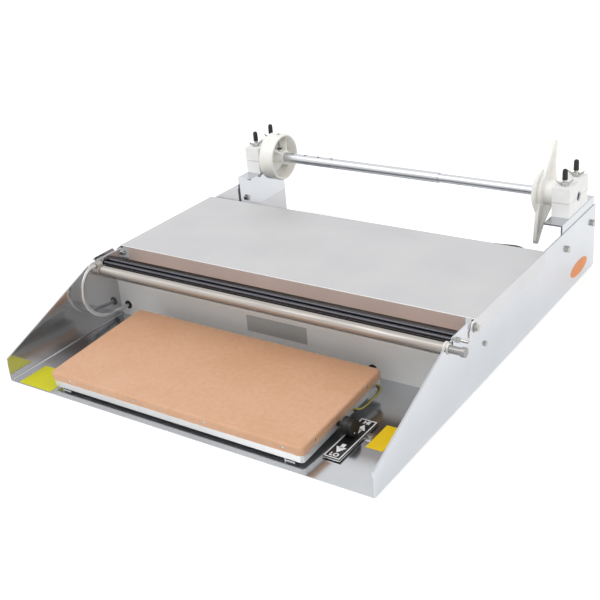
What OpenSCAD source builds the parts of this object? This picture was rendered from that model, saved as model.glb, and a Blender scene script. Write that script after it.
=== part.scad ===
/* [Base pan] */
// Outer width over both side panels
pan_w = 560; // [500:1:640]
// Depth from the front edge to the rear edge
pan_d = 654; // [640:1:720]
// Thickness of the folded sheet
sheet = 1.2; // [0.8:0.1:1.5]
// Height of the side panels
side_h = 99; // [96:0.5:110]
// Height of the side panels at the front edge
lip_h = 33.4; // [20:0.2:50]
// Depth of the slanted front of the side panels
slant_d = 169; // [160:1:170]
// Height of the edge that is folded back inside the side panels
hem_h = 6; // [4:0.5:8]
// Inner radius of the fold between floor and sides
fold_r = 1.5; // [1:0.1:2.5]

/* [Riser and wiring cover] */
// Gap between the hot plate and the riser
riser_gap = 32.6; // [29:0.1:36]
// Depth of the riser's top below the top of the sides
riser_drop = 41; // [39:1:49]
// Depth of the lip along the riser's top
riser_lip = 4; // [3:0.5:6]
// Depth of the wiring space behind the riser
cover_d = 62; // [50:1:80]
// Height of the blank plate on the riser
name_h = 24; // [16:1:30]
// Width of the blank plate on the riser
name_w = 97; // [60:1:120]

/* [Hot rod] */
// Distance of the rod's axis from the front edge
rod_y = 175; // [174:0.5:178]
// Depth of the rod's axis below the top of the sides
rod_drop = 5.6; // [5:0.1:7]
// Radius of the rod's outer tube
rod_r = 6.2; // [5.8:0.1:7]
// Radius of the heater inside the tube
heater_r = 4.75; // [4:0.05:5]
// Length of the heater that stands out on the right
heater_out = 21; // [10:1:30]
// Radius of the armoured cable
armour_r = 2.85; // [2.5:0.05:3.4]
// Length of one turn of the cable's armour
armour_pitch = 2.6; // [2.2:0.1:4]

/* [Gripper] */
// Distance of the channel's front from the front edge
channel_y = 190; // [188:0.5:192]
// Depth of the channel's shelf
shelf_d = 22; // [20:0.5:23]
// Drop from the shelf to the channel's floor
channel_drop = 13.6; // [13.2:0.1:15]
// Depth of the channel's floor
channel_floor = 24; // [20:1:28]
// Height of the gripper strip's ribs above its base
rib_h = 4.2; // [3:0.1:5]
// Thickness of the gripper strip's base
strip_t = 2.2; // [1.5:0.1:3]

/* [Deck] */
// Distance of the deck's front edge from the front edge of the pan
deck_y = 240.7; // [240:0.1:242]
// Depth of the deck
deck_d = 215.3; // [180:1:240]
// Height of the deck's underside above the sides
deck_gap = 1.3; // [1.2:0.1:3]
// Height of the deck's flanges
deck_flange = 23; // [20:0.5:28]
// Radius of the pivot bolts
pivot_r = 2.5; // [2:0.1:3]
// Depth of the pivot below the top of the sides
pivot_drop = 8; // [7:0.1:9]

/* [Roll holder] */
// Distance of the roll's axis from the rear edge
roll_back = 67; // [64:1:80]
// Height of the roll bearing's split above the sides
roll_rise = 34; // [30:1:40]
// Depth of the roll brackets
bracket_d = 125; // [110:1:128]
// Thickness of the roll brackets
bracket_t = 2.5; // [2:0.1:3]
// Height of the roll brackets above the sides
bracket_rise = 13; // [11:0.5:16]
// Width of a bearing block
block_w = 26; // [22:0.5:27]
// Depth of a bearing block
block_d = 72; // [66:1:80]
// Height of the upper half of a bearing block
block_up = 22; // [19:0.5:26]
// Distance between the two studs of a block
stud_gap = 43; // [40:1:46]
// Radius of the studs
stud_r = 3; // [2.5:0.1:3.2]
// Height of the studs above the block
stud_up = 22; // [20:0.5:26]

/* [Roll axle] */
// Radius of the thick tube of the axle
tube_r = 7.95; // [7.5:0.05:8.5]
// Radius of the thin tube of the axle
thin_r = 6.85; // [6:0.05:7]
// Place of the step between both tubes, from the middle
step_x = 60.6; // [40:1:80]
// Distance between the holes in the axle
hole_gap = 25.4; // [22:0.1:28]
// Number of holes in the axle
hole_n = 5; // [3:1:6]
// Radius of the holes in the axle
hole_r = 2.5; // [2.2:0.1:3]
// Radius of the left core wheel
wheel_r = 38.5; // [34:0.5:40]
// Width of the left core wheel
wheel_w = 26; // [22:1:32]
// Radius of the right core plug
plug_r = 35.5; // [32:0.5:38]
// Half length of the right wing flange
wing_l = 75; // [60:1:76]
// Tilt of the wing flange from upright
wing_tilt = 27; // [0:1:45]

/* [Hot plate] */
// Width of the hot plate
plate_w = 392; // [340:1:396]
// Depth of the hot plate along its slope
plate_d = 177.2; // [158:0.2:180]
// Distance of the plate's front from the front edge
plate_y = 10.5; // [8:0.5:14]
// Height of the plate's front top edge
plate_z = 26.5; // [26:0.1:28]
// Slope of the plate in degrees
plate_tilt = 3.3; // [3:0.1:4]
// Thickness of the glass cloth cover
cloth_t = 0.8; // [0.5:0.1:1.2]
// Height of the cover's skirt
skirt_h = 11; // [9:0.5:13]
// Thickness of the heating plate
slab_t = 6; // [4:0.5:6.5]
// Thickness of the insulation pad
pad_t = 11.8; // [11:0.1:12.4]

/* [Control] */
// Radius of the knob
knob_r = 11; // [7:0.5:11]
// Length of the knob
knob_l = 15; // [12:1:24]
// Radius of the thermostat's shaft
shaft_r = 3; // [2.5:0.1:3.2]
// Length of the legend plate
legend_l = 86; // [70:1:100]
// Width of the legend plate
legend_w = 22; // [18:1:24]

/* [Power cord] */
// Diameter of the power cord
cord_d = 6.8; // [6:0.1:7.4]
// Length of the tapered strain relief
relief_l = 35; // [20:1:60]
// Turns of the stored coil
coil_turns = 4.25; // [2.25:1:6.25]
// Inner bend radius of the coil
coil_in = 30.1; // [28:0.1:36]
// Step from one turn of the coil to the next
coil_step = 7.6; // [7.6:0.1:9]

/* [Hidden] */
$fn = 48;

steel = "#D2D2D4";
bright = "#B9B9BC";
zinc = "#C9C7C0";
white = "#EFEFEE";
ivory = "#EFEEE6";
black = "#222022";
tan_cloth = "#D8A888";
yellow = "#E8D400";
orange = "#FBA35A";
brass = "#C8A050";
mineral = "#D8D4C8";
mica = "#8A7A5A";

over = 1;
slip = 0.1;
seat = 0.3;
run = 0.08;
pivot_back = 1.7;
cover_step = 2;
screw_back = 10.5;
screw_drop = 4.7;
half_w = pan_w / 2;
half_d = pan_d / 2;
inner_w = half_w - sheet;
hem_w = inner_w - sheet;
roll_y = half_d - roll_back;
roll_z = side_h + roll_rise;
rod_z = side_h - rod_drop;
pivot_y = deck_y - pivot_back;
pivot_z = side_h - pivot_drop;
riser_y = plate_y + plate_d * cos(plate_tilt) + riser_gap;
riser_h = side_h - riser_drop;
bracket_z = side_h + bracket_rise;
cover_top = riser_h + cover_step;
screw_y = riser_y + cover_d - screw_back;
screw_z = riser_h - screw_drop;
screw_r = 2;

function front(y) = y - half_d;

module slab(x0, x1, y0, y1, z0, z1)
    translate([x0, y0, z0]) cube([x1 - x0, y1 - y0, z1 - z0]);

module rod_x(r, x0, x1, y, z)
    translate([x0, y, z]) rotate([0, 90, 0]) cylinder(r = r, h = x1 - x0);

module rod_y_axis(r, x, y0, y1, z)
    translate([x, y0, z]) rotate([-90, 0, 0]) cylinder(r = r, h = y1 - y0);

module side_outline(x0, x1)
    translate([x0, 0, 0]) rotate([90, 0, 90]) linear_extrude(x1 - x0) children();

module both_sides() {
    children();
    mirror([1, 0, 0]) children();
}

module round_rect(x0, x1, y0, y1, r) {
    translate([x0 + r, y0]) square([x1 - x0 - 2 * r, y1 - y0]);
    translate([x0, y0 + r]) square([x1 - x0, y1 - y0 - 2 * r]);
    for (x = [x0 + r, x1 - r])
        for (y = [y0 + r, y1 - r])
            translate([x, y]) circle(r = r);
}

// A tube swept along points, one ring of n corners and its own radius at each point
function along(p, i) = p[min(i + 1, len(p) - 1)] - p[max(i - 1, 0)];
function unit(v) = v / norm(v);
function ring(c, t, up, r, n) =
    let (s = unit(cross(up, t)), u = cross(t, s))
    [for (k = [0 : n - 1]) c + r * (cos(360 * k / n) * s + sin(360 * k / n) * u)];

module swept(p, radii, n, up) {
    last = len(p) - 1;
    corners = [for (i = [0 : last]) each ring(p[i], unit(along(p, i)), up, radii[i], n)];
    walls = [for (i = [0 : last - 1]) for (k = [0 : n - 1])
        let (a = i * n + k, b = i * n + (k + 1) % n) each [[a, a + n, b + n], [a, b + n, b]]];
    ends = [for (k = [1 : n - 2]) each [[0, k, k + 1], [last * n, last * n + k + 1, last * n + k]]];
    polyhedron(points = corners, faces = concat(walls, ends));
}

// A smooth line through hand-picked points, with a number of steps between each two
function smooth(p, steps) = [
    for (i = [0 : len(p) - 2]) for (s = [0 : steps - 1])
        let (t = s / steps, a = p[max(i - 1, 0)], b = p[i], c = p[i + 1], d = p[min(i + 2, len(p) - 1)])
        0.5 * (2 * b + (c - a) * t + (2 * a - 5 * b + 4 * c - d) * t * t
            + (3 * b - a - 3 * c + d) * t * t * t),
    p[len(p) - 1]];
function length_of(p) =
    let (s = [for (i = [1 : len(p) - 1]) norm(p[i] - p[i - 1])])
    s * [for (x = s) 1];

// Folded base pan: floor and both side panels from one sheet
fold_out = fold_r + sheet;

module pan_section() {
    translate([-half_w + fold_out, 0]) square([pan_w - 2 * fold_out, sheet]);
    for (s = [-1, 1]) {
        translate([s > 0 ? inner_w : -half_w, fold_out]) square([sheet, side_h - fold_out]);
        translate([s * (half_w - fold_out), fold_out]) difference() {
            intersection() {
                circle(r = fold_out);
                translate([s > 0 ? 0 : -fold_out, -fold_out]) square([fold_out, fold_out]);
            }
            circle(r = fold_r);
        }
    }
}

module side_shape()
    polygon([[-half_d, 0], [-half_d, lip_h], [front(slant_d), side_h], [half_d, side_h], [half_d, 0]]);

hem_end = roll_y - bracket_d / 2 - 2 * sheet;

module hem_shape()
    polygon([[-half_d, lip_h - hem_h], [-half_d, lip_h], [front(slant_d), side_h], [hem_end, side_h],
        [hem_end, side_h - hem_h], [front(slant_d), side_h - hem_h]]);

notch_gap = 1.85;
notch_r = heater_r + notch_gap;
bolt_front = 46;
bolt_rear = 53;
bolt_front_drop = 28;
bolt_rear_drop = 25.3;
bolt_y = [roll_y - bolt_front, roll_y + bolt_rear];
bolt_z = [side_h - bolt_front_drop, side_h - bolt_rear_drop];
bolt_r = 3;
rivet_r = 1.6;
rivet_back = 8;
rivet_shares = [-4, -2, 0, 2, 4] / 11;
rivet_x = pan_w * rivet_shares;
rivet_y = riser_y + rivet_back;

module side_holes() {
    rod_x(notch_r, -half_w - over, half_w + over, front(rod_y), rod_z);
    slab(-half_w - over, half_w + over, front(rod_y) - notch_r, front(rod_y) + notch_r, rod_z, side_h + over);
    rod_x(pivot_r + slip, -half_w - over, half_w + over, front(pivot_y), pivot_z);
    rod_x(screw_r + slip, -half_w - over, half_w + over, front(screw_y), screw_z);
    rod_x(screw_r + slip, -half_w - over, half_w + over, front(channel_screw_y), channel_screw_z);
    for (i = [0, 1])
        rod_x(bolt_r + slip, -half_w - over, half_w + over, bolt_y[i], bolt_z[i]);
}

module base_pan() color(steel) difference() {
    union() {
        intersection() {
            translate([0, half_d, 0]) rotate([90, 0, 0]) linear_extrude(pan_d) pan_section();
            side_outline(-half_w - over, half_w + over) side_shape();
        }
        side_outline(inner_w - sheet, inner_w) hem_shape();
        side_outline(-inner_w, -inner_w + sheet) hem_shape();
    }
    side_holes();
    for (x = rivet_x)
        translate([x, front(rivet_y), -over]) cylinder(r = rivet_r, h = sheet + 2 * over);
    for (x = foot_screw_x)
        for (y = foot_screw_y)
            translate([x, y, -over]) cylinder(r = screw_r + slip, h = sheet + 2 * over);
    translate([legend_screw_x, legend_screw_y, -over]) cylinder(r = screw_r + slip, h = sheet + 2 * over);
    for (x = cover_screw_x)
        translate([x, front(cover_screw_y), -over]) cylinder(r = screw_r + slip, h = sheet + 2 * over);
}

// Riser panel under the rod, with side flanges, foot flange and a lip folded to the front
fold_clear = fold_out + seat;
foot_flange = 14;
grommet_in = 16;
grommet_x = -(half_w - grommet_in);
grommet_z = 18;
lead_in = 130;
lead_x = half_w - lead_in;
lead_z = 12;
grommet_hole = 4.6;

module riser_panel() color(bright) difference() {
    union() {
        slab(-half_w + fold_clear, half_w - fold_clear, front(riser_y), front(riser_y) + sheet,
            sheet, riser_h);
        slab(-inner_w, inner_w, front(riser_y), front(riser_y) + sheet, fold_clear, riser_h);
        slab(-inner_w, inner_w, front(riser_y) - riser_lip, front(riser_y) + sheet, riser_h - sheet, riser_h);
        slab(-half_w + fold_clear, half_w - fold_clear, front(riser_y), front(riser_y) + foot_flange,
            sheet, 2 * sheet);
        both_sides()
            slab(inner_w - sheet, inner_w, front(riser_y), front(riser_y + cover_d), fold_clear, riser_h);
    }
    rod_y_axis(grommet_hole, grommet_x, front(riser_y) - over, front(riser_y) + sheet + over, grommet_z);
    rod_y_axis(grommet_hole, lead_x, front(riser_y) - over, front(riser_y) + sheet + over, lead_z);
    rod_x(screw_r + slip, -half_w, half_w, front(screw_y), screw_z);
    for (x = rivet_x)
        translate([x, front(rivet_y), 0]) cylinder(r = rivet_r, h = 3 * sheet);
}

grommet_flange = 1.8;
grommet_edge = 1.2;
lead_r = 2.6;

module grommet(x, z, bore)
    translate([x, front(riser_y), z]) rotate([-90, 0, 0]) rotate_extrude()
        polygon([[bore, -grommet_flange], [grommet_hole + grommet_edge, -grommet_flange],
            [grommet_hole + grommet_flange, 0], [grommet_hole - slip, 0], [grommet_hole - slip, sheet],
            [grommet_hole + grommet_flange, sheet], [grommet_hole + grommet_edge, sheet + grommet_flange],
            [bore, sheet + grommet_flange]]);

module riser_grommets() color(black) {
    grommet(grommet_x, grommet_z, armour_r + slip);
    grommet(lead_x, lead_z, lead_r + slip);
}

rivet_head = 1.2;

module pan_rivets() color(zinc)
    for (x = rivet_x)
        translate([x, front(rivet_y), slip]) {
            cylinder(r = rivet_r - slip / 2, h = 2 * sheet - slip);
            translate([0, 0, 2 * sheet - slip]) cylinder(r1 = 2 * rivet_r, r2 = rivet_r, h = rivet_head);
        }

// Cover over the wiring space behind the riser
cover_in = inner_w - sheet - slip;
cover_y0 = riser_y + sheet + slip;
cover_y1 = riser_y + cover_d;
cover_flange = 12;
cover_screw_x = [-half_w / 2, half_w / 4];
cover_screw_y = cover_y1 + cover_flange / 2;
cover_lap = 10;
tab_d = 22;
tab_h = 12;
relief_x = lead_x;
relief_z = 16;
relief_r = 5.8;

module wiring_cover() color(bright) difference() {
    union() {
        slab(-cover_in, cover_in, front(cover_y0), front(cover_y1), cover_top - sheet, cover_top);
        slab(-cover_in, cover_in, front(cover_y0), front(cover_y0) + sheet, cover_top - cover_lap, cover_top);
        slab(-half_w + fold_clear, half_w - fold_clear, front(cover_y1) - sheet, front(cover_y1),
            sheet, cover_top);
        slab(-half_w + fold_clear, half_w - fold_clear, front(cover_y1) - sheet,
            front(cover_y1 + cover_flange), sheet, 2 * sheet);
        both_sides()
            slab(cover_in - sheet, cover_in, front(cover_y1 - tab_d), front(cover_y1),
                cover_top - tab_h, cover_top);
    }
    rod_x(screw_r + slip, -half_w, half_w, front(screw_y), screw_z);
    rod_y_axis(relief_r, relief_x, front(cover_y1) - sheet - over, front(cover_y1) + over, relief_z);
    for (x = cover_screw_x)
        translate([x, front(cover_screw_y), 0]) cylinder(r = screw_r + slip, h = 3 * sheet);
}

screw_head_r = 3.5;
screw_head = 2.2;
nut_r = 4;
nut_h = 3;

module screw_nut(h) cylinder(r = nut_r, h = h, $fn = 6);

module screw_right(x_in, x_out, y, z) {
    rod_x(screw_head_r, x_out, x_out + screw_head, y, z);
    rod_x(screw_r, x_in - nut_h - sheet, x_out, y, z);
    translate([x_in - nut_h, y, z]) rotate([0, 90, 0]) screw_nut(nut_h);
}

module floor_screw(x, y, z) {
    translate([x, y, slip]) cylinder(r = screw_r, h = z - slip);
    translate([x, y, z]) cylinder(r = screw_head_r, h = screw_head);
}

module side_screws() color(zinc) {
    both_sides() screw_right(cover_in - sheet, half_w, front(screw_y), screw_z);
    for (x = cover_screw_x) floor_screw(x, front(cover_screw_y), 2 * sheet);
}

// Terminal block and the leads inside the wiring space
term_gap = 60;
block_x = relief_x - term_gap;
term_w = 56;
term_d = 20;
term_h = 16;
term_back = 34;
term_y = cover_y1 - term_back;
term_n = 4;
term_hole = 2.2;

module term_places()
    for (i = [0 : term_n - 1])
        translate([block_x - term_w / 2 + (i + 0.5) * term_w / term_n, front(term_y), 0]) children();

module terminal_block() color(white) difference() {
    slab(block_x - term_w / 2, block_x + term_w / 2, front(term_y) - term_d / 2, front(term_y) + term_d / 2,
        sheet, sheet + term_h);
    term_places() translate([0, 0, sheet + term_h / 2]) cylinder(r = term_hole, h = term_h);
}

module terminal_screws() color(brass)
    term_places()
        translate([0, 0, sheet + term_h / 2]) cylinder(r = term_hole - slip, h = term_h / 2 - 2 * slip);

inner_lead_r = 1.6;
armour_in = 20;
lead_through = 16;
lead_turn = 4.5;
lead_floor = 10;
armour_end = riser_y + armour_in;
lead_end = riser_y + lead_through;
block_side = block_x - term_w / 2;
block_far = block_x + term_w / 2;
heater_lead_y = front(armour_end) + 2 * lead_turn;
plate_lead_y = front(lead_end) + 3 * lead_turn;
heater_lead_points = [[grommet_x, front(armour_end) + seat, grommet_z],
    [grommet_x, front(armour_end) + lead_turn, grommet_z],
    [grommet_x + lead_turn, heater_lead_y, (grommet_z + lead_floor) / 2],
    [grommet_x + 4 * lead_turn, heater_lead_y, lead_floor], [0, heater_lead_y, lead_floor],
    [block_side - 2 * lead_turn, heater_lead_y, lead_floor], [block_side, heater_lead_y, lead_floor]];
plate_lead_points = [[lead_x, front(lead_end) + seat, lead_z], [lead_x, front(lead_end) + lead_turn, lead_z],
    [lead_x - lead_turn, plate_lead_y - lead_turn, (lead_z + lead_floor) / 2],
    [lead_x - 3 * lead_turn, plate_lead_y, lead_floor],
    [block_far + 2 * lead_turn, plate_lead_y, lead_floor], [block_far, plate_lead_y, lead_floor]];

module lead(points, r) {
    line = smooth(points, 3);
    swept(line, [for (p = line) r], 8, [0, 0, 1]);
}

module inner_leads() color(black) {
    lead(heater_lead_points, inner_lead_r);
    lead(plate_lead_points, inner_lead_r);
}

name_t = 0.5;
name_x = 3.5;
name_drop = 22;
name_z = riser_h - name_drop;

module name_plate() color(white)
    slab(name_x - name_w / 2, name_x + name_w / 2, front(riser_y) - name_t, front(riser_y),
        name_z - name_h / 2, name_z + name_h / 2);

// Gripper channel between the side panels, with a rubber strip on its shelf
shelf_drop = 9.3;
shelf_z = side_h - shelf_drop;
channel_face = 11;
channel_slope = 14;
channel_x = hem_w;
channel_screw_back = 6;
channel_screw_drop = 4;
channel_screw_y = channel_y + channel_screw_back;
channel_screw_z = side_h - channel_screw_drop;
floor_y = channel_y + shelf_d + channel_slope;
floor_z = shelf_z - channel_drop;

module channel_shape()
    polygon([[front(channel_y), shelf_z - channel_face], [front(channel_y), shelf_z],
        [front(channel_y + shelf_d), shelf_z], [front(floor_y), floor_z],
        [front(floor_y + channel_floor), floor_z], [front(floor_y + channel_floor), floor_z - sheet],
        [front(floor_y) - sheet / 2, floor_z - sheet],
        [front(channel_y + shelf_d) - sheet / 2, shelf_z - sheet],
        [front(channel_y) + sheet, shelf_z - sheet], [front(channel_y) + sheet, shelf_z - channel_face]]);

channel_end = 14;

module gripper_channel() color(bright) difference() {
    union() {
        side_outline(-channel_x, channel_x) channel_shape();
        both_sides() slab(channel_x - sheet, channel_x, front(channel_y), front(channel_y + channel_end),
            shelf_z - sheet, side_h - slip);
    }
    rod_x(screw_r + slip, -half_w, half_w, front(channel_screw_y), channel_screw_z);
}

strip_back = 3;
strip_y = channel_y + strip_back;
strip_d = 17;
strip_gap = 3;
strip_end = sheet + strip_gap;
rib_r = 2.1;
rib_edge = 1.2;

module gripper_strip() color(black)
    side_outline(-channel_x + strip_end, channel_x - strip_end) {
        translate([front(strip_y), shelf_z]) square([strip_d, strip_t]);
        for (y = [strip_y + rib_r + rib_edge, strip_y + strip_d - rib_r - rib_edge]) {
            translate([front(y) - rib_r, shelf_z + strip_t]) square([2 * rib_r, rib_h - rib_r]);
            translate([front(y), shelf_z + strip_t + rib_h - rib_r]) circle(r = rib_r);
        }
    }

// Plates outside the side panels that hold the channel's ends and the deck's pivots
ear_t = 1.2;
ear_front = 6;
ear_down = 15;
ear_up = 5.5;
ear_high = 32;
ear_step = 5;
ear_dip = 1;
ear_y = channel_y - ear_front;
ear_low = side_h - ear_down;
ear_top = side_h + ear_up;
ear_mid = side_h - ear_dip;
ear_high_end = channel_y + ear_high;
pivot_edge = 0.8;
pivot_disc = pivot_drop + deck_gap - pivot_edge;

module end_plates() color(steel) both_sides() difference() {
    side_outline(half_w, half_w + ear_t) {
        polygon([[front(ear_y), ear_low], [front(ear_y), ear_top], [front(ear_high_end), ear_top],
            [front(ear_high_end + ear_step), ear_mid], [front(pivot_y), ear_mid],
            [front(pivot_y) + pivot_disc, pivot_z], [front(pivot_y) + pivot_disc, ear_low]]);
        translate([front(pivot_y), pivot_z]) circle(r = pivot_disc);
    }
    rod_x(pivot_r + slip, half_w - over, half_w + ear_t + over, front(pivot_y), pivot_z);
    rod_x(screw_r + slip, half_w - over, half_w + ear_t + over, front(channel_screw_y), channel_screw_z);
}

channel_screw_out = 15;

module channel_screws() color(zinc) both_sides() {
    rod_x(screw_head_r, channel_x - sheet - screw_head, channel_x - sheet,
        front(channel_screw_y), channel_screw_z);
    rod_x(screw_r, channel_x - sheet, half_w + channel_screw_out, front(channel_screw_y), channel_screw_z);
    translate([half_w + ear_t, front(channel_screw_y), channel_screw_z]) rotate([0, 90, 0]) screw_nut(nut_h);
}

// Hot cut-off rod
tube_right = 5.5;
tube_left = 22;
tube_end = half_w - tube_right;
tube_start = half_w - tube_left;
bush_flange = 2;
bush_r = notch_r - seat;
heater_left = 3;
heater_end = half_w + heater_out;
heater_start = half_w + heater_left;
cap_l = 6;
cap_wall = 1.2;

module rod_tube() color(bright) difference() {
    rod_x(rod_r, -tube_start, tube_end, front(rod_y), rod_z);
    rod_x(heater_r + slip, -tube_start - over, tube_end + over, front(rod_y), rod_z);
}

module rod_heater() color(steel)
    rod_x(heater_r, -heater_start, heater_end, front(rod_y), rod_z);

module rod_bushes() color(white) both_sides() difference() {
    union() {
        rod_x(bush_r, hem_w - bush_flange, half_w + bush_flange / 2, front(rod_y), rod_z);
        rod_x(bush_r + bush_flange, hem_w - slip - bush_flange, hem_w - slip, front(rod_y), rod_z);
    }
    rod_x(heater_r + slip, hem_w - 2 * bush_flange, half_w + 2 * over, front(rod_y), rod_z);
}

socket_wall = 1.8;
socket_gap = 1;
socket_r = rod_r + socket_wall;
cable_x = grommet_x;
cable_over = 1.4;
cable_rise = rod_r + cable_over;
boss_wall = 1.6;
boss_ahead = 6;
boss_behind = 4;
boss_r = armour_r + boss_wall;
boss_front = rod_y - boss_ahead;

module rod_socket() color(bright) difference() {
    union() {
        rod_x(socket_r, -hem_w + bush_flange + 2 * slip + socket_gap, -tube_start - slip,
            front(rod_y), rod_z);
        rod_y_axis(boss_r, cable_x, front(boss_front), front(rod_y + boss_behind), rod_z + cable_rise);
    }
    rod_x(heater_r + slip, -half_w, 0, front(rod_y), rod_z);
}

module rod_end_cap() color(bright) difference() {
    rod_x(heater_r + cap_wall, heater_end - cap_l + over, heater_end + over, front(rod_y), rod_z);
    rod_x(heater_r + slip, heater_end - cap_l, heater_end, front(rod_y), rod_z);
}

// Armoured cable from the rod down to the riser, with one rib a turn
cable_reach = riser_y - rod_y;
cable_fall = rod_z - grommet_z;
cable_level = 6;
cable_shares = [[-0.245, 0.101], [-0.445, 0.088], [-0.6, 0.021], [-0.756, -0.098], [-0.823, -0.244],
    [-0.845, -0.385], [-0.779, -0.544], [-0.623, -0.703], [-0.356, -0.849], [-0.022, -0.948],
    [0.377, -0.96], [0.689, -0.992]];
cable_points = concat([[cable_x, front(boss_front) - seat, rod_z + cable_rise]],
    [for (p = cable_shares) [cable_x, front(rod_y + p[0] * cable_reach), rod_z + p[1] * cable_fall]],
    [for (y = [riser_y - cable_level, riser_y + cable_level, armour_end]) [grommet_x, front(y), grommet_z]]);
cable_line = smooth(cable_points, 8);
cable_length = length_of(cable_line);
rib_n = floor(cable_length / armour_pitch);
rib_depth = 0.45;
function travel(p) =
    [for (i = 0, s = 0; i < len(p); i = i + 1, s = s + (i < len(p) ? norm(p[i] - p[i - 1]) : 0)) s];
cable_travel = travel(cable_line);
function at_travel(s) =
    let (i = max([for (j = [0 : len(cable_line) - 2]) if (cable_travel[j] <= s) j]),
        f = (s - cable_travel[i]) / (cable_travel[i + 1] - cable_travel[i]))
    cable_line[i] + f * (cable_line[i + 1] - cable_line[i]);
armour_line = [for (k = [0 : 2 * rib_n]) at_travel(k * cable_length / (2 * rib_n))];

module armoured_cable() color(steel)
    swept(armour_line, [for (k = [0 : 2 * rib_n]) armour_r - (k % 2) * rib_depth], 8, [1, 0, 0]);

// Lift-up deck cover with flanges outside the side panels
deck_in = half_w + ear_t + seat;
deck_out = deck_in + sheet;
deck_low = side_h + deck_gap;
deck_top = deck_low + sheet;
deck_lug = 15;
lip_in = 9;
lip_x = hem_w - lip_in;

module deck_cover() color(steel) difference() {
    union() {
        slab(-deck_out, deck_out, front(deck_y), front(deck_y + deck_d), deck_low, deck_top);
        slab(-lip_x, lip_x, front(deck_y), front(deck_y) + sheet,
            deck_top - deck_flange + 2 * sheet, deck_top);
        both_sides() side_outline(deck_in, deck_out)
            polygon([[front(pivot_y - deck_lug), pivot_z - pivot_disc], [front(pivot_y - deck_lug), pivot_z],
                [front(pivot_y - deck_lug / 2), pivot_z + pivot_disc], [front(deck_y), deck_top],
                [front(deck_y + deck_d), deck_top], [front(deck_y + deck_d), deck_top - deck_flange],
                [front(pivot_y), deck_top - deck_flange]]);
    }
    both_sides() rod_x(pivot_r + slip, deck_in - over, deck_out + over, front(pivot_y), pivot_z);
}

washer_r = 6;
washer_t = 1;
pivot_head = 3.5;
pivot_head_r = 4.6;

module deck_pivot_bolts() color(zinc) both_sides() {
    rod_x(pivot_r, hem_w - nut_h - 2 * washer_t, deck_out + seat + washer_t, front(pivot_y), pivot_z);
    rod_x(washer_r, deck_out + seat, deck_out + seat + washer_t, front(pivot_y), pivot_z);
    translate([deck_out + seat + washer_t, front(pivot_y), pivot_z]) rotate([0, 90, 0])
        cylinder(r = pivot_head_r, h = pivot_head, $fn = 6);
    translate([hem_w - nut_h, front(pivot_y), pivot_z]) rotate([0, 90, 0])
        cylinder(r = pivot_head_r, h = nut_h, $fn = 6);
}

// Roll brackets inside the side panels, with a flange folded inwards under the bearing blocks
bracket_down = 49;
bracket_low = side_h - bracket_down;
block_gap = 0.8;
flange_edge = 0.5;
block_out = inner_w - block_gap;
block_in = block_out - block_w;
stud_x = block_out - block_w / 2;
stud_y = [roll_y - stud_gap / 2, roll_y + stud_gap / 2];

module roll_brackets() color(steel) both_sides() difference() {
    union() {
        slab(inner_w - bracket_t, inner_w, roll_y - bracket_d / 2, roll_y + bracket_d / 2,
            bracket_low, bracket_z);
        slab(block_in - flange_edge, inner_w, roll_y - bracket_d / 2, roll_y + bracket_d / 2,
            bracket_z - bracket_t, bracket_z);
    }
    for (i = [0, 1]) {
        rod_x(bolt_r + slip, block_in, half_w, bolt_y[i], bolt_z[i]);
        translate([stud_x, stud_y[i], bracket_low]) cylinder(r = stud_r + slip, h = bracket_z);
    }
}

bolt_head_r = 5.2;
bolt_head = 4;

module bracket_bolts() color(zinc) both_sides()
    for (i = [0, 1]) {
        rod_x(bolt_r, inner_w - bracket_t - bolt_head - sheet, half_w, bolt_y[i], bolt_z[i]);
        translate([half_w, bolt_y[i], bolt_z[i]]) rotate([0, 90, 0])
            cylinder(r = bolt_head_r, h = bolt_head, $fn = 6);
        translate([inner_w - bracket_t - bolt_head, bolt_y[i], bolt_z[i]]) rotate([0, 90, 0])
            cylinder(r = bolt_head_r, h = bolt_head, $fn = 6);
    }

// Split bearing blocks on both ends of the axle
split_gap = 0.6;
bearing_l = tube_r + run;
bearing_r = thin_r + run;
oil_r = 1.2;

module block_bores() {
    rod_x(bearing_l, -half_w, 0, roll_y, roll_z);
    rod_x(bearing_r, 0, half_w, roll_y, roll_z);
    for (s = [-1, 1])
        for (y = stud_y)
            translate([s * stud_x, y, bracket_z - over])
                cylinder(r = stud_r + slip, h = 2 * roll_rise + block_up);
}

module lower_blocks() color(white) difference() {
    both_sides() slab(block_in, block_out, roll_y - block_d / 2, roll_y + block_d / 2,
        bracket_z, roll_z - split_gap / 2);
    block_bores();
}

block_top = roll_z + block_up;

module upper_blocks() color(white) difference() {
    both_sides() slab(block_in, block_out, roll_y - block_d / 2, roll_y + block_d / 2,
        roll_z + split_gap / 2, block_top);
    block_bores();
    rod_x(oil_r, block_out - block_w / 4, half_w, roll_y, roll_z + bearing_r);
    rod_x(oil_r, -half_w, -block_out + block_w / 4, roll_y, roll_z + bearing_l);
}

stud_down = 8;
stud_nut_h = 5;
stud_nut_edge = 2.4;
stud_low = bracket_z - bracket_t - stud_down;
stud_top = block_top + stud_up;

module block_studs() color(zinc) both_sides()
    for (y = stud_y)
        translate([stud_x, y, 0]) {
            translate([0, 0, stud_low]) cylinder(r = stud_r, h = stud_top - stud_low);
            translate([0, 0, bracket_z - bracket_t - stud_nut_h])
                cylinder(r = stud_r + stud_nut_edge, h = stud_nut_h, $fn = 6);
        }

stud_cap_wall = 0.9;
cap_r = stud_r + stud_cap_wall;
cap_h = 16;
cap_tip = cap_r / 2 + seat;

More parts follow.
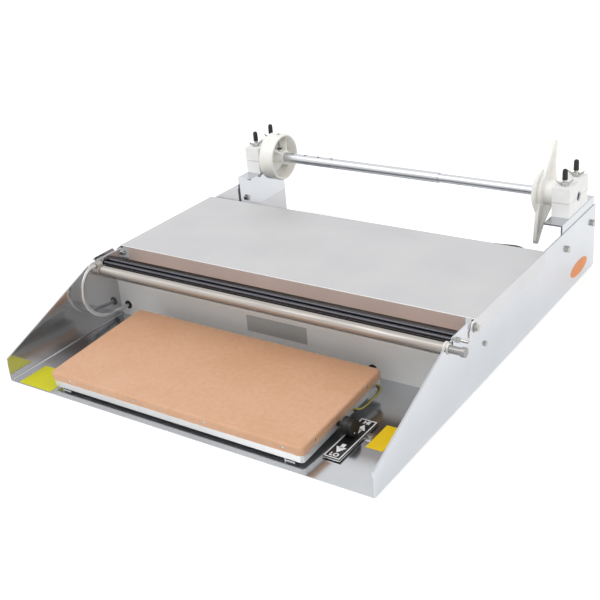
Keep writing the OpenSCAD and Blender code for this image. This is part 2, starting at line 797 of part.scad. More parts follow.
module stud_caps() color(black) both_sides()
    for (y = stud_y)
        translate([stud_x, y, stud_top + cap_tip]) mirror([0, 0, 1]) difference() {
            union() {
                translate([0, 0, cap_r / 2]) cylinder(r = cap_r, h = cap_h - cap_r / 2);
                cylinder(r1 = cap_r / 2, r2 = cap_r, h = cap_r / 2);
            }
            translate([0, 0, cap_tip]) cylinder(r = stud_r + slip / 2, h = cap_h);
        }

nut_base = 5.4;
nut_taper = 1;
nut_rise = 4.6;
nut_root = 1;
wing_span = 12;
wing_rise = 9;
wing_t = 1.8;
wing_low_share = 0.056;
wing_shares = [[0.45, wing_low_share], [0.958, 0.556], [1, 0.889], [0.875, 1], [0.667, 0.778]];

module wing_side()
    polygon(concat([[stud_r + nut_root, wing_low_share * wing_rise]],
        [for (p = wing_shares) [p[0] * wing_span, p[1] * wing_rise]], [[stud_r + nut_root, nut_rise]]));

module wing_nut(x, y, turn) color(zinc)
    translate([x, y, block_top + seat]) rotate([0, 0, turn]) difference() {
        union() {
            cylinder(r1 = nut_base, r2 = nut_base - nut_taper, h = nut_rise);
            rotate([90, 0, 0]) translate([0, 0, -wing_t / 2]) linear_extrude(wing_t) both_sides() wing_side();
        }
        translate([0, 0, -over]) cylinder(r = stud_r + run, h = nut_rise + wing_rise + over);
    }

module wing_nut_left_front() wing_nut(-stud_x, stud_y[0], 60);
module wing_nut_left_rear() wing_nut(-stud_x, stud_y[1], 20);
module wing_nut_right_front() wing_nut(stud_x, stud_y[0], 35);
module wing_nut_right_rear() wing_nut(stud_x, stud_y[1], 10);

// Roll axle: thick tube with adjustment holes, thin tube inside its right end
axle_wall = 0.9;
axle_in = 1;
axle_end = block_out - axle_in;
pin_in = 18.1;
pin_x = -(block_in - pin_in);

module axle_tube() color(steel) difference() {
    rod_x(tube_r, -axle_end, step_x, roll_y, roll_z);
    rod_x(tube_r - axle_wall, -axle_end - over, step_x + over, roll_y, roll_z);
    for (i = [0 : hole_n - 1])
        translate([pin_x + i * hole_gap, roll_y, roll_z]) cylinder(r = hole_r, h = 2 * tube_r);
}

thin_lap = 60;

module axle_rod() color(steel) difference() {
    rod_x(thin_r, step_x - thin_lap, axle_end, roll_y, roll_z);
    rod_x(thin_r - axle_wall, step_x - thin_lap - over, axle_end + over, roll_y, roll_z);
}

// Left core wheel: a cup with hub and spokes, held on the axle by a pull pin
wheel_wall = 3;
wheel_edge = 1;
wheel_gap = 1.5;
wheel_out = -(block_in - wheel_gap);
hub_wall = 3.5;
hub_more = 2;
wheel_hub = tube_r + hub_wall;
wheel_in = wheel_r - wheel_wall - wheel_edge;
spoke_t = 3.5;
spoke_n = 4;
pin_play = 0.4;
pin_r = hole_r - pin_play;

module wheel_section()
    polygon([[tube_r + run, 0], [wheel_r - wheel_edge, 0], [wheel_r, wheel_edge],
        [wheel_r - wheel_edge, wheel_w], [wheel_in, wheel_w], [wheel_in, wheel_wall],
        [wheel_hub, wheel_wall], [wheel_hub, wheel_w + hub_more], [tube_r + run, wheel_w + hub_more]]);

module core_wheel() color(ivory) difference() {
    translate([wheel_out, roll_y, roll_z]) rotate([0, 90, 0]) {
        rotate_extrude() wheel_section();
        for (k = [0 : spoke_n - 1])
            rotate([0, 0, 45 + 360 * k / spoke_n]) translate([wheel_hub - wheel_edge, -spoke_t / 2, 0])
                cube([wheel_r - wheel_wall - wheel_hub, spoke_t, wheel_w / 2]);
    }
    translate([pin_x, roll_y, roll_z]) cylinder(r = pin_r + run, h = wheel_r + over);
}

pin_clear = 0.3;
pin_travel = 1.5;
pin_head = 1.2;
ring_t = 1.8;
pin_ring = 4.2;
pin_base = tube_r + pin_clear;
ring_z = wheel_hub + pin_travel + pin_clear;
head_z = wheel_r + pin_travel + pin_clear;

module core_pin() color(zinc) translate([pin_x, roll_y, roll_z]) {
    translate([0, 0, pin_base]) cylinder(r = pin_r, h = head_z - pin_base);
    translate([0, 0, ring_z]) cylinder(r = pin_ring, h = ring_t);
    translate([0, 0, head_z]) cylinder(r1 = pin_ring, r2 = pin_ring - pin_head, h = pin_head);
}

// Right core plug with a long two-lobed wing flange behind it
plug_reach = 39;
plug_l = 13;
plug_wall = 5;
plug_tip = block_in - plug_reach;
plug_base = plug_tip + plug_l;
plug_hub = thin_r + plug_wall;
dome_shares = [[0, 0], [0.38, 0.154], [0.64, 0.423], [0.894, 0.731], [1, 0.938], [1, 1]];
wing_face = 5;
wing_hub = 15;

module plug_section()
    polygon(concat([[thin_r + run, 0]],
        [for (p = dome_shares) [plug_hub + p[0] * (plug_r - plug_hub), p[1] * plug_l]],
        [[thin_r + run, plug_l]]));

module core_plug() color(ivory)
    translate([plug_tip, roll_y, roll_z]) rotate([0, 90, 0]) rotate_extrude() plug_section();

lobe_r = 5;
gusset_t = 4;
gusset_edge = 1;
gusset_half = 20;
waist_out = 8;
waist_half = 24;
wing_hub_wall = 6;
wing_hub_more = 9;

module wing_outline() {
    for (s = [-1, 1]) {
        polygon([[-plug_hub - waist_out, 0], [-plug_hub - waist_out, s * waist_half],
            [-lobe_r, s * (wing_l - lobe_r)], [lobe_r, s * (wing_l - lobe_r)],
            [plug_hub + waist_out, s * waist_half], [plug_hub + waist_out, 0]]);
        translate([0, s * (wing_l - lobe_r)]) circle(r = lobe_r);
    }
    circle(r = plug_r - waist_out);
}

module gusset_outline()
    for (s = [-1, 1])
        polygon([[wing_face, 0], [wing_face, s * (wing_l - 2 * lobe_r)],
            [wing_hub - gusset_edge, s * gusset_half], [wing_hub, 0]]);

module wing_flange() color(ivory)
    translate([plug_base, roll_y, roll_z]) rotate([-wing_tilt, 0, 0]) difference() {
        union() {
            side_outline(0, wing_face) wing_outline();
            rotate([90, 0, 0]) translate([0, 0, -gusset_t / 2]) linear_extrude(gusset_t) gusset_outline();
            rod_x(plug_hub + wing_hub_wall, 0, wing_hub + wing_hub_more, 0, 0);
        }
        rod_x(thin_r + run, -over, wing_hub + wing_hub_more + over, 0, 0);
    }

// Hot plate, tilted up at the back: tray, insulation, element, heating plate and cloth cover
plate_in = 70;
plate_x0 = -(half_w - plate_in);
plate_x1 = plate_x0 + plate_w;
element_t = 1.5;
corner_r = 4;
skin = cloth_t + seat;
tray_h = cloth_t + slab_t + element_t + pad_t + sheet;
tray_wall = skin + sheet;

module on_plate() translate([0, front(plate_y), plate_z]) rotate([plate_tilt, 0, 0]) children();

module layer(inset, z0, z1, r)
    translate([0, 0, z0]) linear_extrude(z1 - z0)
        round_rect(plate_x0 + inset, plate_x1 - inset, inset, plate_d - inset, r);

knob_local_y = 75;
knob_local_z = -(tray_h - sheet - pad_t / 2);
knob_y = front(plate_y) + knob_local_y * cos(plate_tilt) - knob_local_z * sin(plate_tilt);
knob_z = plate_z + knob_local_y * sin(plate_tilt) + knob_local_z * cos(plate_tilt);
lead_hole_z = knob_local_z;

module plate_tray() color(bright) on_plate() difference() {
    layer(skin, -tray_h, -cloth_t - slab_t, corner_r - skin + sheet);
    layer(tray_wall, -tray_h + sheet, 0, corner_r - sheet);
    rod_x(shaft_r + run, plate_x1 - 3 * tray_wall, plate_x1, knob_local_y, knob_local_z);
    rod_y_axis(lead_r + slip, lead_x, plate_d - 3 * tray_wall, plate_d, lead_hole_z);
}

module plate_feet() color(bright) difference() {
    for (x = [plate_x0 + foot_in, plate_x1 - foot_in - foot_w])
        for (part = [0, 1])
            slab(x, x + (part == 0 ? sheet : foot_w), front(foot_y0), front(foot_y1),
                sheet, part == 0 ? plate_z + plate_d * sin(plate_tilt) : 2 * sheet);
    on_plate() slab(plate_x0 - over, plate_x1 + over, -plate_d, 2 * plate_d, -tray_h, plate_d);
    for (x = foot_screw_x)
        for (y = foot_screw_y)
            translate([x, y, 0]) cylinder(r = screw_r + slip, h = 3 * sheet);
}

foot_in = 14;
foot_w = 14;
foot_front = 4;
foot_rear = 8;
foot_hole = 9;
foot_hole_rear = 12;
foot_hole_gap = 48;
foot_y0 = plate_y + foot_front;
foot_y1 = plate_y + plate_d - foot_rear;
foot_screw_x = [plate_x0 + foot_in + foot_hole, plate_x1 - foot_in - foot_w + foot_hole];
foot_screw_y = [front(foot_y1 - foot_hole_rear - foot_hole_gap), front(foot_y1 - foot_hole_rear)];

module floor_screws() color(zinc) {
    for (x = foot_screw_x)
        for (y = foot_screw_y) floor_screw(x, y, 2 * sheet);
    floor_screw(legend_screw_x, legend_screw_y, 2 * sheet);
}

thermo_x = 28;
thermo_y = 30;
thermo_gap = 0.4;
pad_slot = 24;

module thermo_space(g)
    slab(plate_x1 - tray_wall - thermo_x - g, plate_x1 - tray_wall, knob_local_y - thermo_y / 2 - g,
        knob_local_y + thermo_y / 2 + g, -tray_h, -cloth_t - slab_t - element_t + slip);

module insulation_pad() color(mineral) on_plate() difference() {
    layer(tray_wall + seat, -tray_h + sheet, -cloth_t - slab_t - element_t, corner_r - sheet);
    thermo_space(thermo_gap);
    rod_y_axis(lead_r + slip, lead_x, plate_d - pad_slot, plate_d, lead_hole_z);
}

module heating_element() color(mica) on_plate()
    layer(tray_wall + seat, -cloth_t - slab_t - element_t, -cloth_t - slab_t, corner_r - sheet);

module heating_plate() color(bright) on_plate()
    layer(skin, -cloth_t - slab_t, -cloth_t, corner_r - skin + sheet);

module cloth_cover() color(tan_cloth) on_plate() difference() {
    layer(0, -skirt_h, 0, corner_r);
    layer(cloth_t + slip, -skirt_h - over, -cloth_t, corner_r - cloth_t);
    rod_x(shaft_r + seat, plate_x1 - tray_wall, plate_x1 + over, knob_local_y, knob_local_z);
    rod_y_axis(lead_r + seat, lead_x, plate_d - tray_wall, plate_d + over, lead_hole_z);
}

stud_rivet_r = 2;
stud_rivet_h = 1.1;
front_rivet_share = [0.09, 0.366, 0.647, 0.935];
side_rivet_share = [0.145, 0.8];
rivet_height_share = 0.43;
rivet_z = -rivet_height_share * skirt_h;

module cover_rivets() color(tan_cloth) on_plate() {
    for (s = front_rivet_share) {
        rod_y_axis(stud_rivet_r, plate_x0 + s * plate_w, -stud_rivet_h, 0, rivet_z);
        rod_y_axis(stud_rivet_r, plate_x0 + s * plate_w, plate_d, plate_d + stud_rivet_h, rivet_z);
    }
    for (s = side_rivet_share) {
        rod_x(stud_rivet_r, plate_x1, plate_x1 + stud_rivet_h, s * plate_d, rivet_z);
        rod_x(stud_rivet_r, plate_x0 - stud_rivet_h, plate_x0, s * plate_d, rivet_z);
    }
}

// Thermostat under the right end of the plate, with its knob outside
module thermostat() color(black) on_plate() difference() {
    slab(plate_x1 - tray_wall - thermo_x, plate_x1 - tray_wall, knob_local_y - thermo_y / 2,
        knob_local_y + thermo_y / 2, -tray_h + sheet, -cloth_t - slab_t - element_t);
    rod_x(shaft_r + run, plate_x1 - tray_wall - thermo_x / 2, plate_x1, knob_local_y, knob_local_z);
}

knob_gap = 8;
knob_start = plate_x1 + knob_gap;
knob_end = knob_start + knob_l;
knob_skirt = 5;
knob_step = 1.5;
grip_n = 14;
grip_r = 1;
grip_in = 1.2;
mark_w = 1.6;

module control_knob() color(black)
    translate([0, knob_y, knob_z]) {
        rod_x(shaft_r, plate_x1 - tray_wall - thermo_x / 2 + seat, knob_start + over, 0, 0);
        difference() {
            union() {
                rod_x(knob_r, knob_start, knob_start + knob_skirt, 0, 0);
                rod_x(knob_r - knob_step, knob_start, knob_end, 0, 0);
            }
            for (k = [0 : grip_n - 1])
                rotate([360 * k / grip_n, 0, 0])
                    rod_x(grip_r, knob_start + knob_skirt, knob_end + over, knob_r - grip_in, 0);
            slab(knob_end - knob_step, knob_end + over, -mark_w / 2, mark_w / 2, 0, knob_r);
        }
    }

wire_r = 1.1;
wire_step = 2.4;
wire_lift = 0.5;
wire_bulge = 6;
wire_turn = 3;
wire_ease = 2;
wire_bend = 10;
wire_sag = 1;
wire_z0 = -(tray_h - sheet - wire_r - wire_lift);
wire_start_share = 0.62;
wire_end_share = 0.93;
wire_y0 = wire_start_share * plate_d;
wire_y1 = wire_end_share * plate_d;

module wire(lift, bulge) {
    z = wire_z0 + lift;
    x = plate_x1 + bulge;
    line = smooth([[plate_x1 - skin + seat, wire_y0, z], [x - wire_turn, wire_y0 + wire_ease, z],
        [x, wire_y0 + wire_bend, z - wire_sag / 2], [x, (wire_y0 + wire_y1) / 2, z - wire_sag],
        [x, wire_y1 - wire_bend, z - wire_sag / 2], [x - wire_turn, wire_y1 - wire_ease, z],
        [plate_x1 - skin + seat, wire_y1, z]], 3);
    swept(line, [for (p = line) wire_r], 8, [0, 0, 1]);
}

module thermostat_leads() on_plate() {
    color(black) wire(0, wire_bulge);
    color(yellow) wire(wire_step, wire_bulge + wire_turn);
}

lead_inside = 6;
lead_outside = 2;
lead_level = 5;
lead_shares = [[0.26, 0.21], [0.63, 0.875], [0.77, 0.983]];
tray_back_y = front(plate_y) + (plate_d - skin) * cos(plate_tilt) - lead_hole_z * sin(plate_tilt);
tray_back_z = plate_z + (plate_d - skin) * sin(plate_tilt) + lead_hole_z * cos(plate_tilt);
plate_lead_line = smooth(concat(
    [for (d = [-lead_inside, lead_outside]) [lead_x, tray_back_y + d, tray_back_z + d * tan(plate_tilt)]],
    [for (p = lead_shares) [lead_x, tray_back_y + p[0] * (front(riser_y) - tray_back_y),
        tray_back_z + p[1] * (lead_z - tray_back_z)]],
    [for (y = [riser_y - lead_level, riser_y + lead_level, lead_end]) [lead_x, front(y), lead_z]]), 3);

module plate_lead() color(black)
    swept(plate_lead_line, [for (p = plate_lead_line) lead_r], 8, [1, 0, 0]);

// Legend plate on a bent bracket beside the plate
legend_z = 4.6;
legend_t = 0.8;
legend_front = 48.1;
legend_edge = 1;
legend_screw_out = 12;
legend_screw_back = 10.9;
legend_screw_edge = 4.5;
legend_tab = 14;
legend_y = knob_y - legend_front;
legend_screw_x = knob_end + legend_screw_out;
legend_screw_y = knob_y + legend_screw_back;
legend_fold = knob_start + legend_w + legend_edge;
legend_tab_y = legend_screw_y - legend_tab / 2;

module legend_bracket() color(bright) difference() {
    union() {
        slab(knob_start - legend_edge, legend_fold, legend_y - legend_edge, legend_y + legend_l + legend_edge,
            legend_z - legend_t - sheet, legend_z - legend_t);
        slab(legend_fold - sheet, legend_fold, legend_tab_y, legend_tab_y + legend_tab,
            sheet, legend_z - legend_t);
        slab(legend_fold - sheet, legend_screw_x + legend_screw_edge, legend_tab_y, legend_tab_y + legend_tab,
            sheet, 2 * sheet);
    }
    translate([legend_screw_x, legend_screw_y, 0]) cylinder(r = screw_r + slip, h = 3 * sheet);
}

module legend_plate() color(black)
    slab(knob_start, knob_start + legend_w, legend_y, legend_y + legend_l, legend_z - legend_t, legend_z);

label_t = 0.3;
right_label_w = 22;
right_label_l = 50;
right_label_in = 36;
right_label_y = 78;
left_label_w = 57;
left_label_l = 48;
left_label_in = 15;
left_label_y = 2;

module floor_labels() color(yellow) {
    translate([half_w - right_label_in - right_label_w, front(right_label_y), sheet])
        cube([right_label_w, right_label_l, label_t]);
    translate([-half_w + left_label_in, front(left_label_y), sheet])
        cube([left_label_w, left_label_l, label_t]);
}

label_l = 64;
label_w = 22;
label_back = 5;
label_height_share = 0.23;

module side_label() color(orange)
    side_outline(half_w, half_w + label_t)
        translate([roll_y + label_back, label_height_share * side_h])
            scale([label_l / label_w, 1]) circle(r = label_w / 2);

// Power cord with strain relief, stored coil, tie and plug
cord_r = cord_d / 2;
relief_end = cover_y1 + relief_l;
relief_flange = 2;
relief_edge = 2;
relief_wall = 1;

module strain_relief() color(black)
    translate([relief_x, front(cover_y1), relief_z]) rotate([-90, 0, 0]) difference() {
        rotate_extrude()
            polygon([[0, -sheet - relief_flange], [relief_r + relief_edge, -sheet - relief_flange],
                [relief_r + relief_edge, -sheet], [relief_r - slip, -sheet], [relief_r - slip, 0],
                [relief_r + relief_edge, 0], [relief_r + relief_wall, relief_flange + relief_wall],
                [cord_r + relief_wall, relief_l], [0, relief_l]]);
        translate([0, 0, relief_l - 2 * cord_d]) cylinder(r = cord_r + slip, h = 3 * cord_d);
    }

tie_t = 0.8;
tie_w = 8;
tie_gap = 0.4;
tie_floor = 0.2;
coil_out = coil_in + coil_step * coil_turns / 2;
coil_z = cord_r + tie_t + tie_floor;
back_y = 658.2;
coil_x = -334;
coil_y = back_y - coil_out;
cord_in = 10;
cord_points = [[relief_x, relief_end - cord_in, relief_z], [relief_x, relief_end, relief_z],
    [152, 332, 15], [156, 350, 11], [162, 374, 6.5], [168, 405, 5], [174, 440, 5], [178, 480, 5],
    [180, 520, 5], [180, 560, 5], [180, 600, 5], [180, 622, 5], [179, 635, 5], [175, 645, 5],
    [168.5, 653.5, 5], [159.5, 659.5, 4.8], [149, 662, 4.2], [138, 661.5, 3.6], [124, 659.5, 3.5],
    [108, 658.4, 3.4], [80, back_y, 3.4], [0, back_y, 3.4], [-90, back_y, 3.4], [-180, back_y, 3.4],
    [-270, back_y, 3.4], [-300, back_y, 3.6], [-316, back_y, 4.2], [coil_x + cord_d, back_y, coil_z]];
cord_line = [for (p = smooth(cord_points, 2)) [p[0], p[1] - half_d, p[2]]];

module power_cord() color(black)
    swept(cord_line, [for (p = cord_line) cord_r], 8, [0, 0, 1]);

coil_rings = 24;
climb_turns = 0.5;
tail_l = 42;

function coil_point(t) =
    let (r = coil_in + coil_step * abs(t - coil_turns / 2), a = 90 + 360 * t,
        climb = min(max((t - coil_turns / 2) / climb_turns + 1 / 2, 0), 1))
    [coil_x + r * cos(a), coil_y - half_d + r * sin(a), coil_z + coil_step * climb];
coil_line = [for (k = [0 : coil_rings * coil_turns]) coil_point(k / coil_rings)];
coil_tail = [for (k = [1 : 4]) coil_line[len(coil_line) - 1] + [0, -tail_l * k / 4, 0]];
coil_path = concat([coil_line[0] + [cord_d, 0, 0]], coil_line, coil_tail);
least = min([for (i = [0 : len(coil_line) - 1]) for (j = [i + coil_rings / 2 : 1 : len(coil_line) - 1])
    norm(coil_line[i] - coil_line[j])]) - cord_d;
echo(coil_least_gap = least);

module cord_coil() color(black)
    swept(coil_path, [for (p = coil_path) cord_r], 6, [0, 0, 1]);

module cord_tie() color(black)
    translate([coil_x, coil_y - half_d, 0]) difference() {
        slab(coil_in - cord_r - tie_t - tie_gap, coil_out + cord_r + tie_t + tie_gap, -tie_w / 2, tie_w / 2,
            0, coil_z + coil_step + cord_r + tie_t + seat);
        slab(coil_in - cord_r - tie_gap, coil_out + cord_r + tie_gap, -tie_w, tie_w,
            tie_t, coil_z + coil_step + cord_r + seat);
    }

body_w = 26;
body_l = 38;
body_taper = 10;
body_edge = 0.2;
body_wall = 1.2;
plug_end = coil_path[len(coil_path) - 1];
plug_half = plug_end[2];
blade_l = 17.5;
blade_w = 6.35;
blade_t = 1.5;
blade_gap = 12.7;
earth_r = 2.4;
earth_more = 3;
blade_height_share = 1.45;
earth_height_share = 0.42;

module power_plug() color(black) translate([plug_end[0], plug_end[1], 0]) difference() {
    union() {
        slab(-body_w / 2, body_w / 2, -body_l, -body_taper, 0, 2 * plug_half);
        translate([0, -body_taper, plug_half]) rotate([-90, 0, 0])
            cylinder(r1 = plug_half - body_edge, r2 = cord_r + body_wall, h = body_taper);
    }
    pin_cuts(0);
}

module pin_cuts(g) {
    blade_z = blade_height_share * plug_half;
    for (x = [-blade_gap / 2, blade_gap / 2])
        slab(x - blade_t / 2 - g, x + blade_t / 2 + g, -body_l - blade_l, -body_l + blade_w,
            blade_z - blade_w / 2 - g, blade_z + blade_w / 2 + g);
    rod_y_axis(earth_r + g, 0, -body_l - blade_l - earth_more, -body_l + blade_w,
        earth_height_share * plug_half);
}

module plug_pins() color(brass) translate([plug_end[0], plug_end[1], 0]) pin_cuts(-slip);

base_pan();
riser_panel();
riser_grommets();
pan_rivets();
wiring_cover();
side_screws();
terminal_block();
terminal_screws();
inner_leads();
name_plate();
gripper_channel();
gripper_strip();
end_plates();
channel_screws();
rod_tube();
rod_heater();
rod_bushes();
rod_socket();
rod_end_cap();
armoured_cable();
deck_cover();
deck_pivot_bolts();
roll_brackets();
bracket_bolts();
lower_blocks();
upper_blocks();
block_studs();
stud_caps();
wing_nut_left_front();
wing_nut_left_rear();
wing_nut_right_front();
wing_nut_right_rear();
axle_tube();
axle_rod();
core_wheel();
core_pin();
core_plug();
wing_flange();
plate_tray();
plate_feet();
floor_screws();
insulation_pad();
heating_element();
heating_plate();
cloth_cover();
cover_rivets();
thermostat();
thermostat_leads();
plate_lead();
control_knob();
legend_bracket();
legend_plate();
floor_labels();
side_label();
strain_relief();
power_cord();
cord_coil();
cord_tie();
power_plug();
plug_pins();
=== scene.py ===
import math

import bpy
from mathutils import Matrix, Vector
from mathutils import noise as wave


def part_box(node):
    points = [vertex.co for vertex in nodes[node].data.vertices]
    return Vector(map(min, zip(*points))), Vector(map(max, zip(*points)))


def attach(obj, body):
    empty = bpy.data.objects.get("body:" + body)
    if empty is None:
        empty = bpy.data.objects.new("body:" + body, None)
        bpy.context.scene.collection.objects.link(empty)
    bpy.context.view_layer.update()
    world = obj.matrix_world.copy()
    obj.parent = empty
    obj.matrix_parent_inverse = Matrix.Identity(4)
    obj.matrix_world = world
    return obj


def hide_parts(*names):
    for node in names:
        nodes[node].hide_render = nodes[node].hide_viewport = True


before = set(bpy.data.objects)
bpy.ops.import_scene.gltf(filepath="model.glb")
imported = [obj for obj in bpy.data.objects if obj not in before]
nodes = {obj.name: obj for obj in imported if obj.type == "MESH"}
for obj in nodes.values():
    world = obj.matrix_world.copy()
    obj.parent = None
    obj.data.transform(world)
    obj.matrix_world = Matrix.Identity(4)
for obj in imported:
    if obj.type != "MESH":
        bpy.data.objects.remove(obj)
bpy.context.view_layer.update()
scene = bpy.context.scene
scene.view_settings.view_transform = "Standard"

mm = 0.001
half_depth = 327


def place(x, y, z):
    """A point in metres from millimetres, with y counted from the pan's front edge."""
    return Vector((x, y - half_depth, z)) * mm


# Camera at the photograph's angle
camera_at = (0.76139, -1.09549, 0.67345)
view_right = (0.8293, 0.5532, -0.0793)
view_up = (-0.1815, 0.4007, 0.898)
view_back = (0.5286, -0.7303, 0.4327)
camera_lens = 63.185
bpy.ops.object.camera_add(location=camera_at)
camera = bpy.context.object
camera.rotation_euler = Matrix((view_right, view_up, view_back)).transposed().to_euler()
camera.data.lens = camera_lens
camera.data.sensor_width = 36
scene.camera = camera


# Colours and material nodes
def linear(colour):
    """An sRGB hex colour as linear red, green, blue and alpha."""
    parts = [int(colour[i : i + 2], 16) / 255 for i in (1, 3, 5)]
    return [p / 12.92 if p <= 0.04045 else ((p + 0.055) / 1.055) ** 2.4 for p in parts] + [1]


def add(tree, kind, inputs, **settings):
    """Adds a node, sets its settings and gives each input a value or a link."""
    made = tree.nodes.new(kind)
    for name, value in settings.items():
        setattr(made, name, value)
    for name, value in inputs.items():
        if isinstance(value, bpy.types.NodeSocket):
            tree.links.new(value, made.inputs[name])
        else:
            made.inputs[name].default_value = value
    return made


def surface(name, **inputs):
    """A new material with a Principled shader: gives it, its tree, its shader and Object coordinates."""
    material = bpy.data.materials.new(name)
    material.use_nodes = True
    tree = material.node_tree
    shader = tree.nodes["Principled BSDF"]
    for key, value in inputs.items():
        shader.inputs[key.replace("_", " ")].default_value = value
    return material, tree, shader, add(tree, "ShaderNodeTexCoord", {}).outputs["Object"]


def noise(tree, where, size, stretch=(1, 1, 1), detail=2.0):
    """Noise with lumps of a real size in metres, stretched along each axis."""
    spread = add(tree, "ShaderNodeMapping", {"Vector": where, "Scale": [1 / s for s in stretch]})
    names = {"Vector": spread.outputs["Vector"], "Scale": 1 / size, "Detail": detail}
    made = add(tree, "ShaderNodeTexNoise", names)
    return made.outputs["Fac"]


def between(tree, value, low, high, start=0.3, end=0.7):
    """A value from low to high as a pattern goes from start to end."""
    names = {"Value": value, "From Min": start, "From Max": end, "To Min": low, "To Max": high}
    return add(tree, "ShaderNodeMapRange", names).outputs["Result"]


def blended(tree, share, first, second):
    """A colour from the first to the second hex colour, by a share."""
    names = {0: share, 6: linear(first), 7: linear(second)}
    return add(tree, "ShaderNodeMix", names, data_type="RGBA").outputs[2]


def bumped(tree, shader, height, depth, strength=1.0):
    """Gives the shader a bump of a real depth in metres."""
    made = add(tree, "ShaderNodeBump", {"Height": height, "Distance": depth, "Strength": strength})
    tree.links.new(made.outputs["Normal"], shader.inputs["Normal"])


# Stainless steel sheet, rolled and satin polished: fine grain along the rolling direction.
# The lip sheet is a painted reflection of the tan cloth, the fold sheet a painted highlight, the wall, matt
# and tray sheets painted light, and the warm sheet painted shade with a painted reflection of the cloth;
# they stand for how the light falls there, not for other metals.
def steel_sheet(name, light, dark, rough, grain_along, metallic=1.0):
    material, tree, shader, where = surface(name, Metallic=metallic)
    cloud = noise(tree, where, 0.09, detail=3)
    stretch = [12 if axis == grain_along else 0.35 for axis in range(3)]
    grain = noise(tree, where, 0.0035, stretch, 4)
    tree.links.new(blended(tree, between(tree, cloud, 0, 1), light, dark), shader.inputs["Base Color"])
    tree.links.new(between(tree, grain, rough * 0.92, rough * 1.1), shader.inputs["Roughness"])
    bumped(tree, shader, grain, 0.00002, 0.12)
    return material


pan_steel = steel_sheet("satin_stainless_steel", "#D0D2D6", "#C9CCD0", 0.17, 1)
deck_steel = steel_sheet("brushed_stainless_steel", "#D6D6D7", "#CFCFD1", 0.42, 0)
bright_steel = steel_sheet("polished_stainless_steel", "#DADADB", "#CFCFD0", 0.2, 0)
# Painted light: the riser's sheet is near white and not metallic. It stands for the bright room mirrored in
# the riser, in place of the shade under the deck.
painted_light_riser_steel = steel_sheet("painted_light_riser_sheet", "#FAFAF8", "#F0F0EE", 0.5, 0, 0.0)
# Painted light: a near-white, half-metallic sheet for the plate tray, which stands for the bright
# reflection along its front.
painted_light_tray_steel = steel_sheet("painted_light_tray_sheet", "#E9E9E8", "#E0E0DF", 0.3, 0, 0.55)
# Painted shade and painted reflection: a darker, warm sheet for the gripper channel, for the shade under
# the deck and the tan cloth mirrored there.
painted_shade_reflection_steel = steel_sheet("painted_shade_and_reflection_sheet", "#9C8E86", "#90837C", 0.45, 0, 0.7)
# Painted reflection: a warm, light sheet for the deck's front lip, for the tan cloth mirrored in it.
painted_reflection_lip_steel = steel_sheet("painted_cloth_reflection_sheet", "#F6E4DC", "#EEDCD4", 0.42, 0, 0.5)
# Painted highlight: a near-white, mostly diffuse sheet for folded edges, which draws their bright line.
painted_highlight_steel = steel_sheet("painted_highlight_fold_sheet", "#FAFAF9", "#F3F3F2", 0.25, 0, 0.2)
# Painted light: the pan's inner side walls get their own smoother, less metallic sheet. Its diffuse share
# lifts them.
painted_light_wall_steel = steel_sheet("painted_light_wall_sheet", "#CDCDCF", "#C8C8CA", 0.1, 1, 0.85)
plate_steel = steel_sheet("anodised_aluminium_plate", "#CFCFCD", "#C5C5C3", 0.5, 0, 0.3)


# Zinc plated steel: small bright fasteners, faintly cloudy from the plating bath
def zinc_plate():
    material, tree, shader, where = surface("zinc_plated_steel", Metallic=1.0)
    cloud = noise(tree, where, 0.004)
    colour = blended(tree, between(tree, cloud, 0, 1), "#C9C8C4", "#A3A29F")
    tree.links.new(colour, shader.inputs["Base Color"])
    tree.links.new(between(tree, cloud, 0.18, 0.34), shader.inputs["Roughness"])
    return material


zinc = zinc_plate()


# Drawn steel tube of the roll axle: bright, with fine lengthwise drawing marks
def drawn_tube(name, light, dark, rough):
    material, tree, shader, where = surface(name, Metallic=1.0)
    marks = noise(tree, where, 0.0012, (60, 1, 1), 3)
    tree.links.new(blended(tree, between(tree, marks, 0, 1), light, dark), shader.inputs["Base Color"])
    tree.links.new(between(tree, marks, rough, rough * 1.6), shader.inputs["Roughness"])
    return material


armour_steel = steel_sheet("galvanised_steel_armour", "#D4D5D6", "#B5B6B8", 0.22, 0)
axle_chrome = drawn_tube("drawn_steel_tube", "#DCDDE0", "#CCCED1", 0.3)
rod_steel = drawn_tube("polished_steel_tube", "#BDB8B3", "#AFA9A4", 0.42)
heater_steel = drawn_tube("heater_sheath_steel", "#A8A7A6", "#8A8887", 0.32)


# Moulded plastics: an even colour with the faint orange peel of the mould
def moulded(name, light, dark, rough, subsurface=0.0, grit=0.0012, depth=0.00002):
    material, tree, shader, where = surface(name, Subsurface_Weight=subsurface)
    if subsurface:
        shader.inputs["Subsurface Radius"].default_value = (0.004, 0.003, 0.002)
        shader.inputs["Subsurface Scale"].default_value = 1.0
    cloud = noise(tree, where, 0.02)
    fine = noise(tree, where, grit)
    tree.links.new(blended(tree, between(tree, cloud, 0, 1), light, dark), shader.inputs["Base Color"])
    tree.links.new(between(tree, fine, rough * 0.85, rough * 1.15), shader.inputs["Roughness"])
    bumped(tree, shader, fine, depth, 0.5)
    return material


white_acetal = moulded("white_acetal", "#F6F6F5", "#F0F0EE", 0.38)
ivory_nylon = moulded("ivory_nylon", "#FBFAF6", "#F6F4EC", 0.34, 0.12)
black_phenolic = moulded("black_phenolic", "#0E0D0D", "#151413", 0.5)
black_rubber = moulded("black_rubber", "#161616", "#201F1F", 0.5, grit=0.0008)
silicone_strip = moulded("black_silicone", "#0F0F10", "#1A1A1B", 0.28)
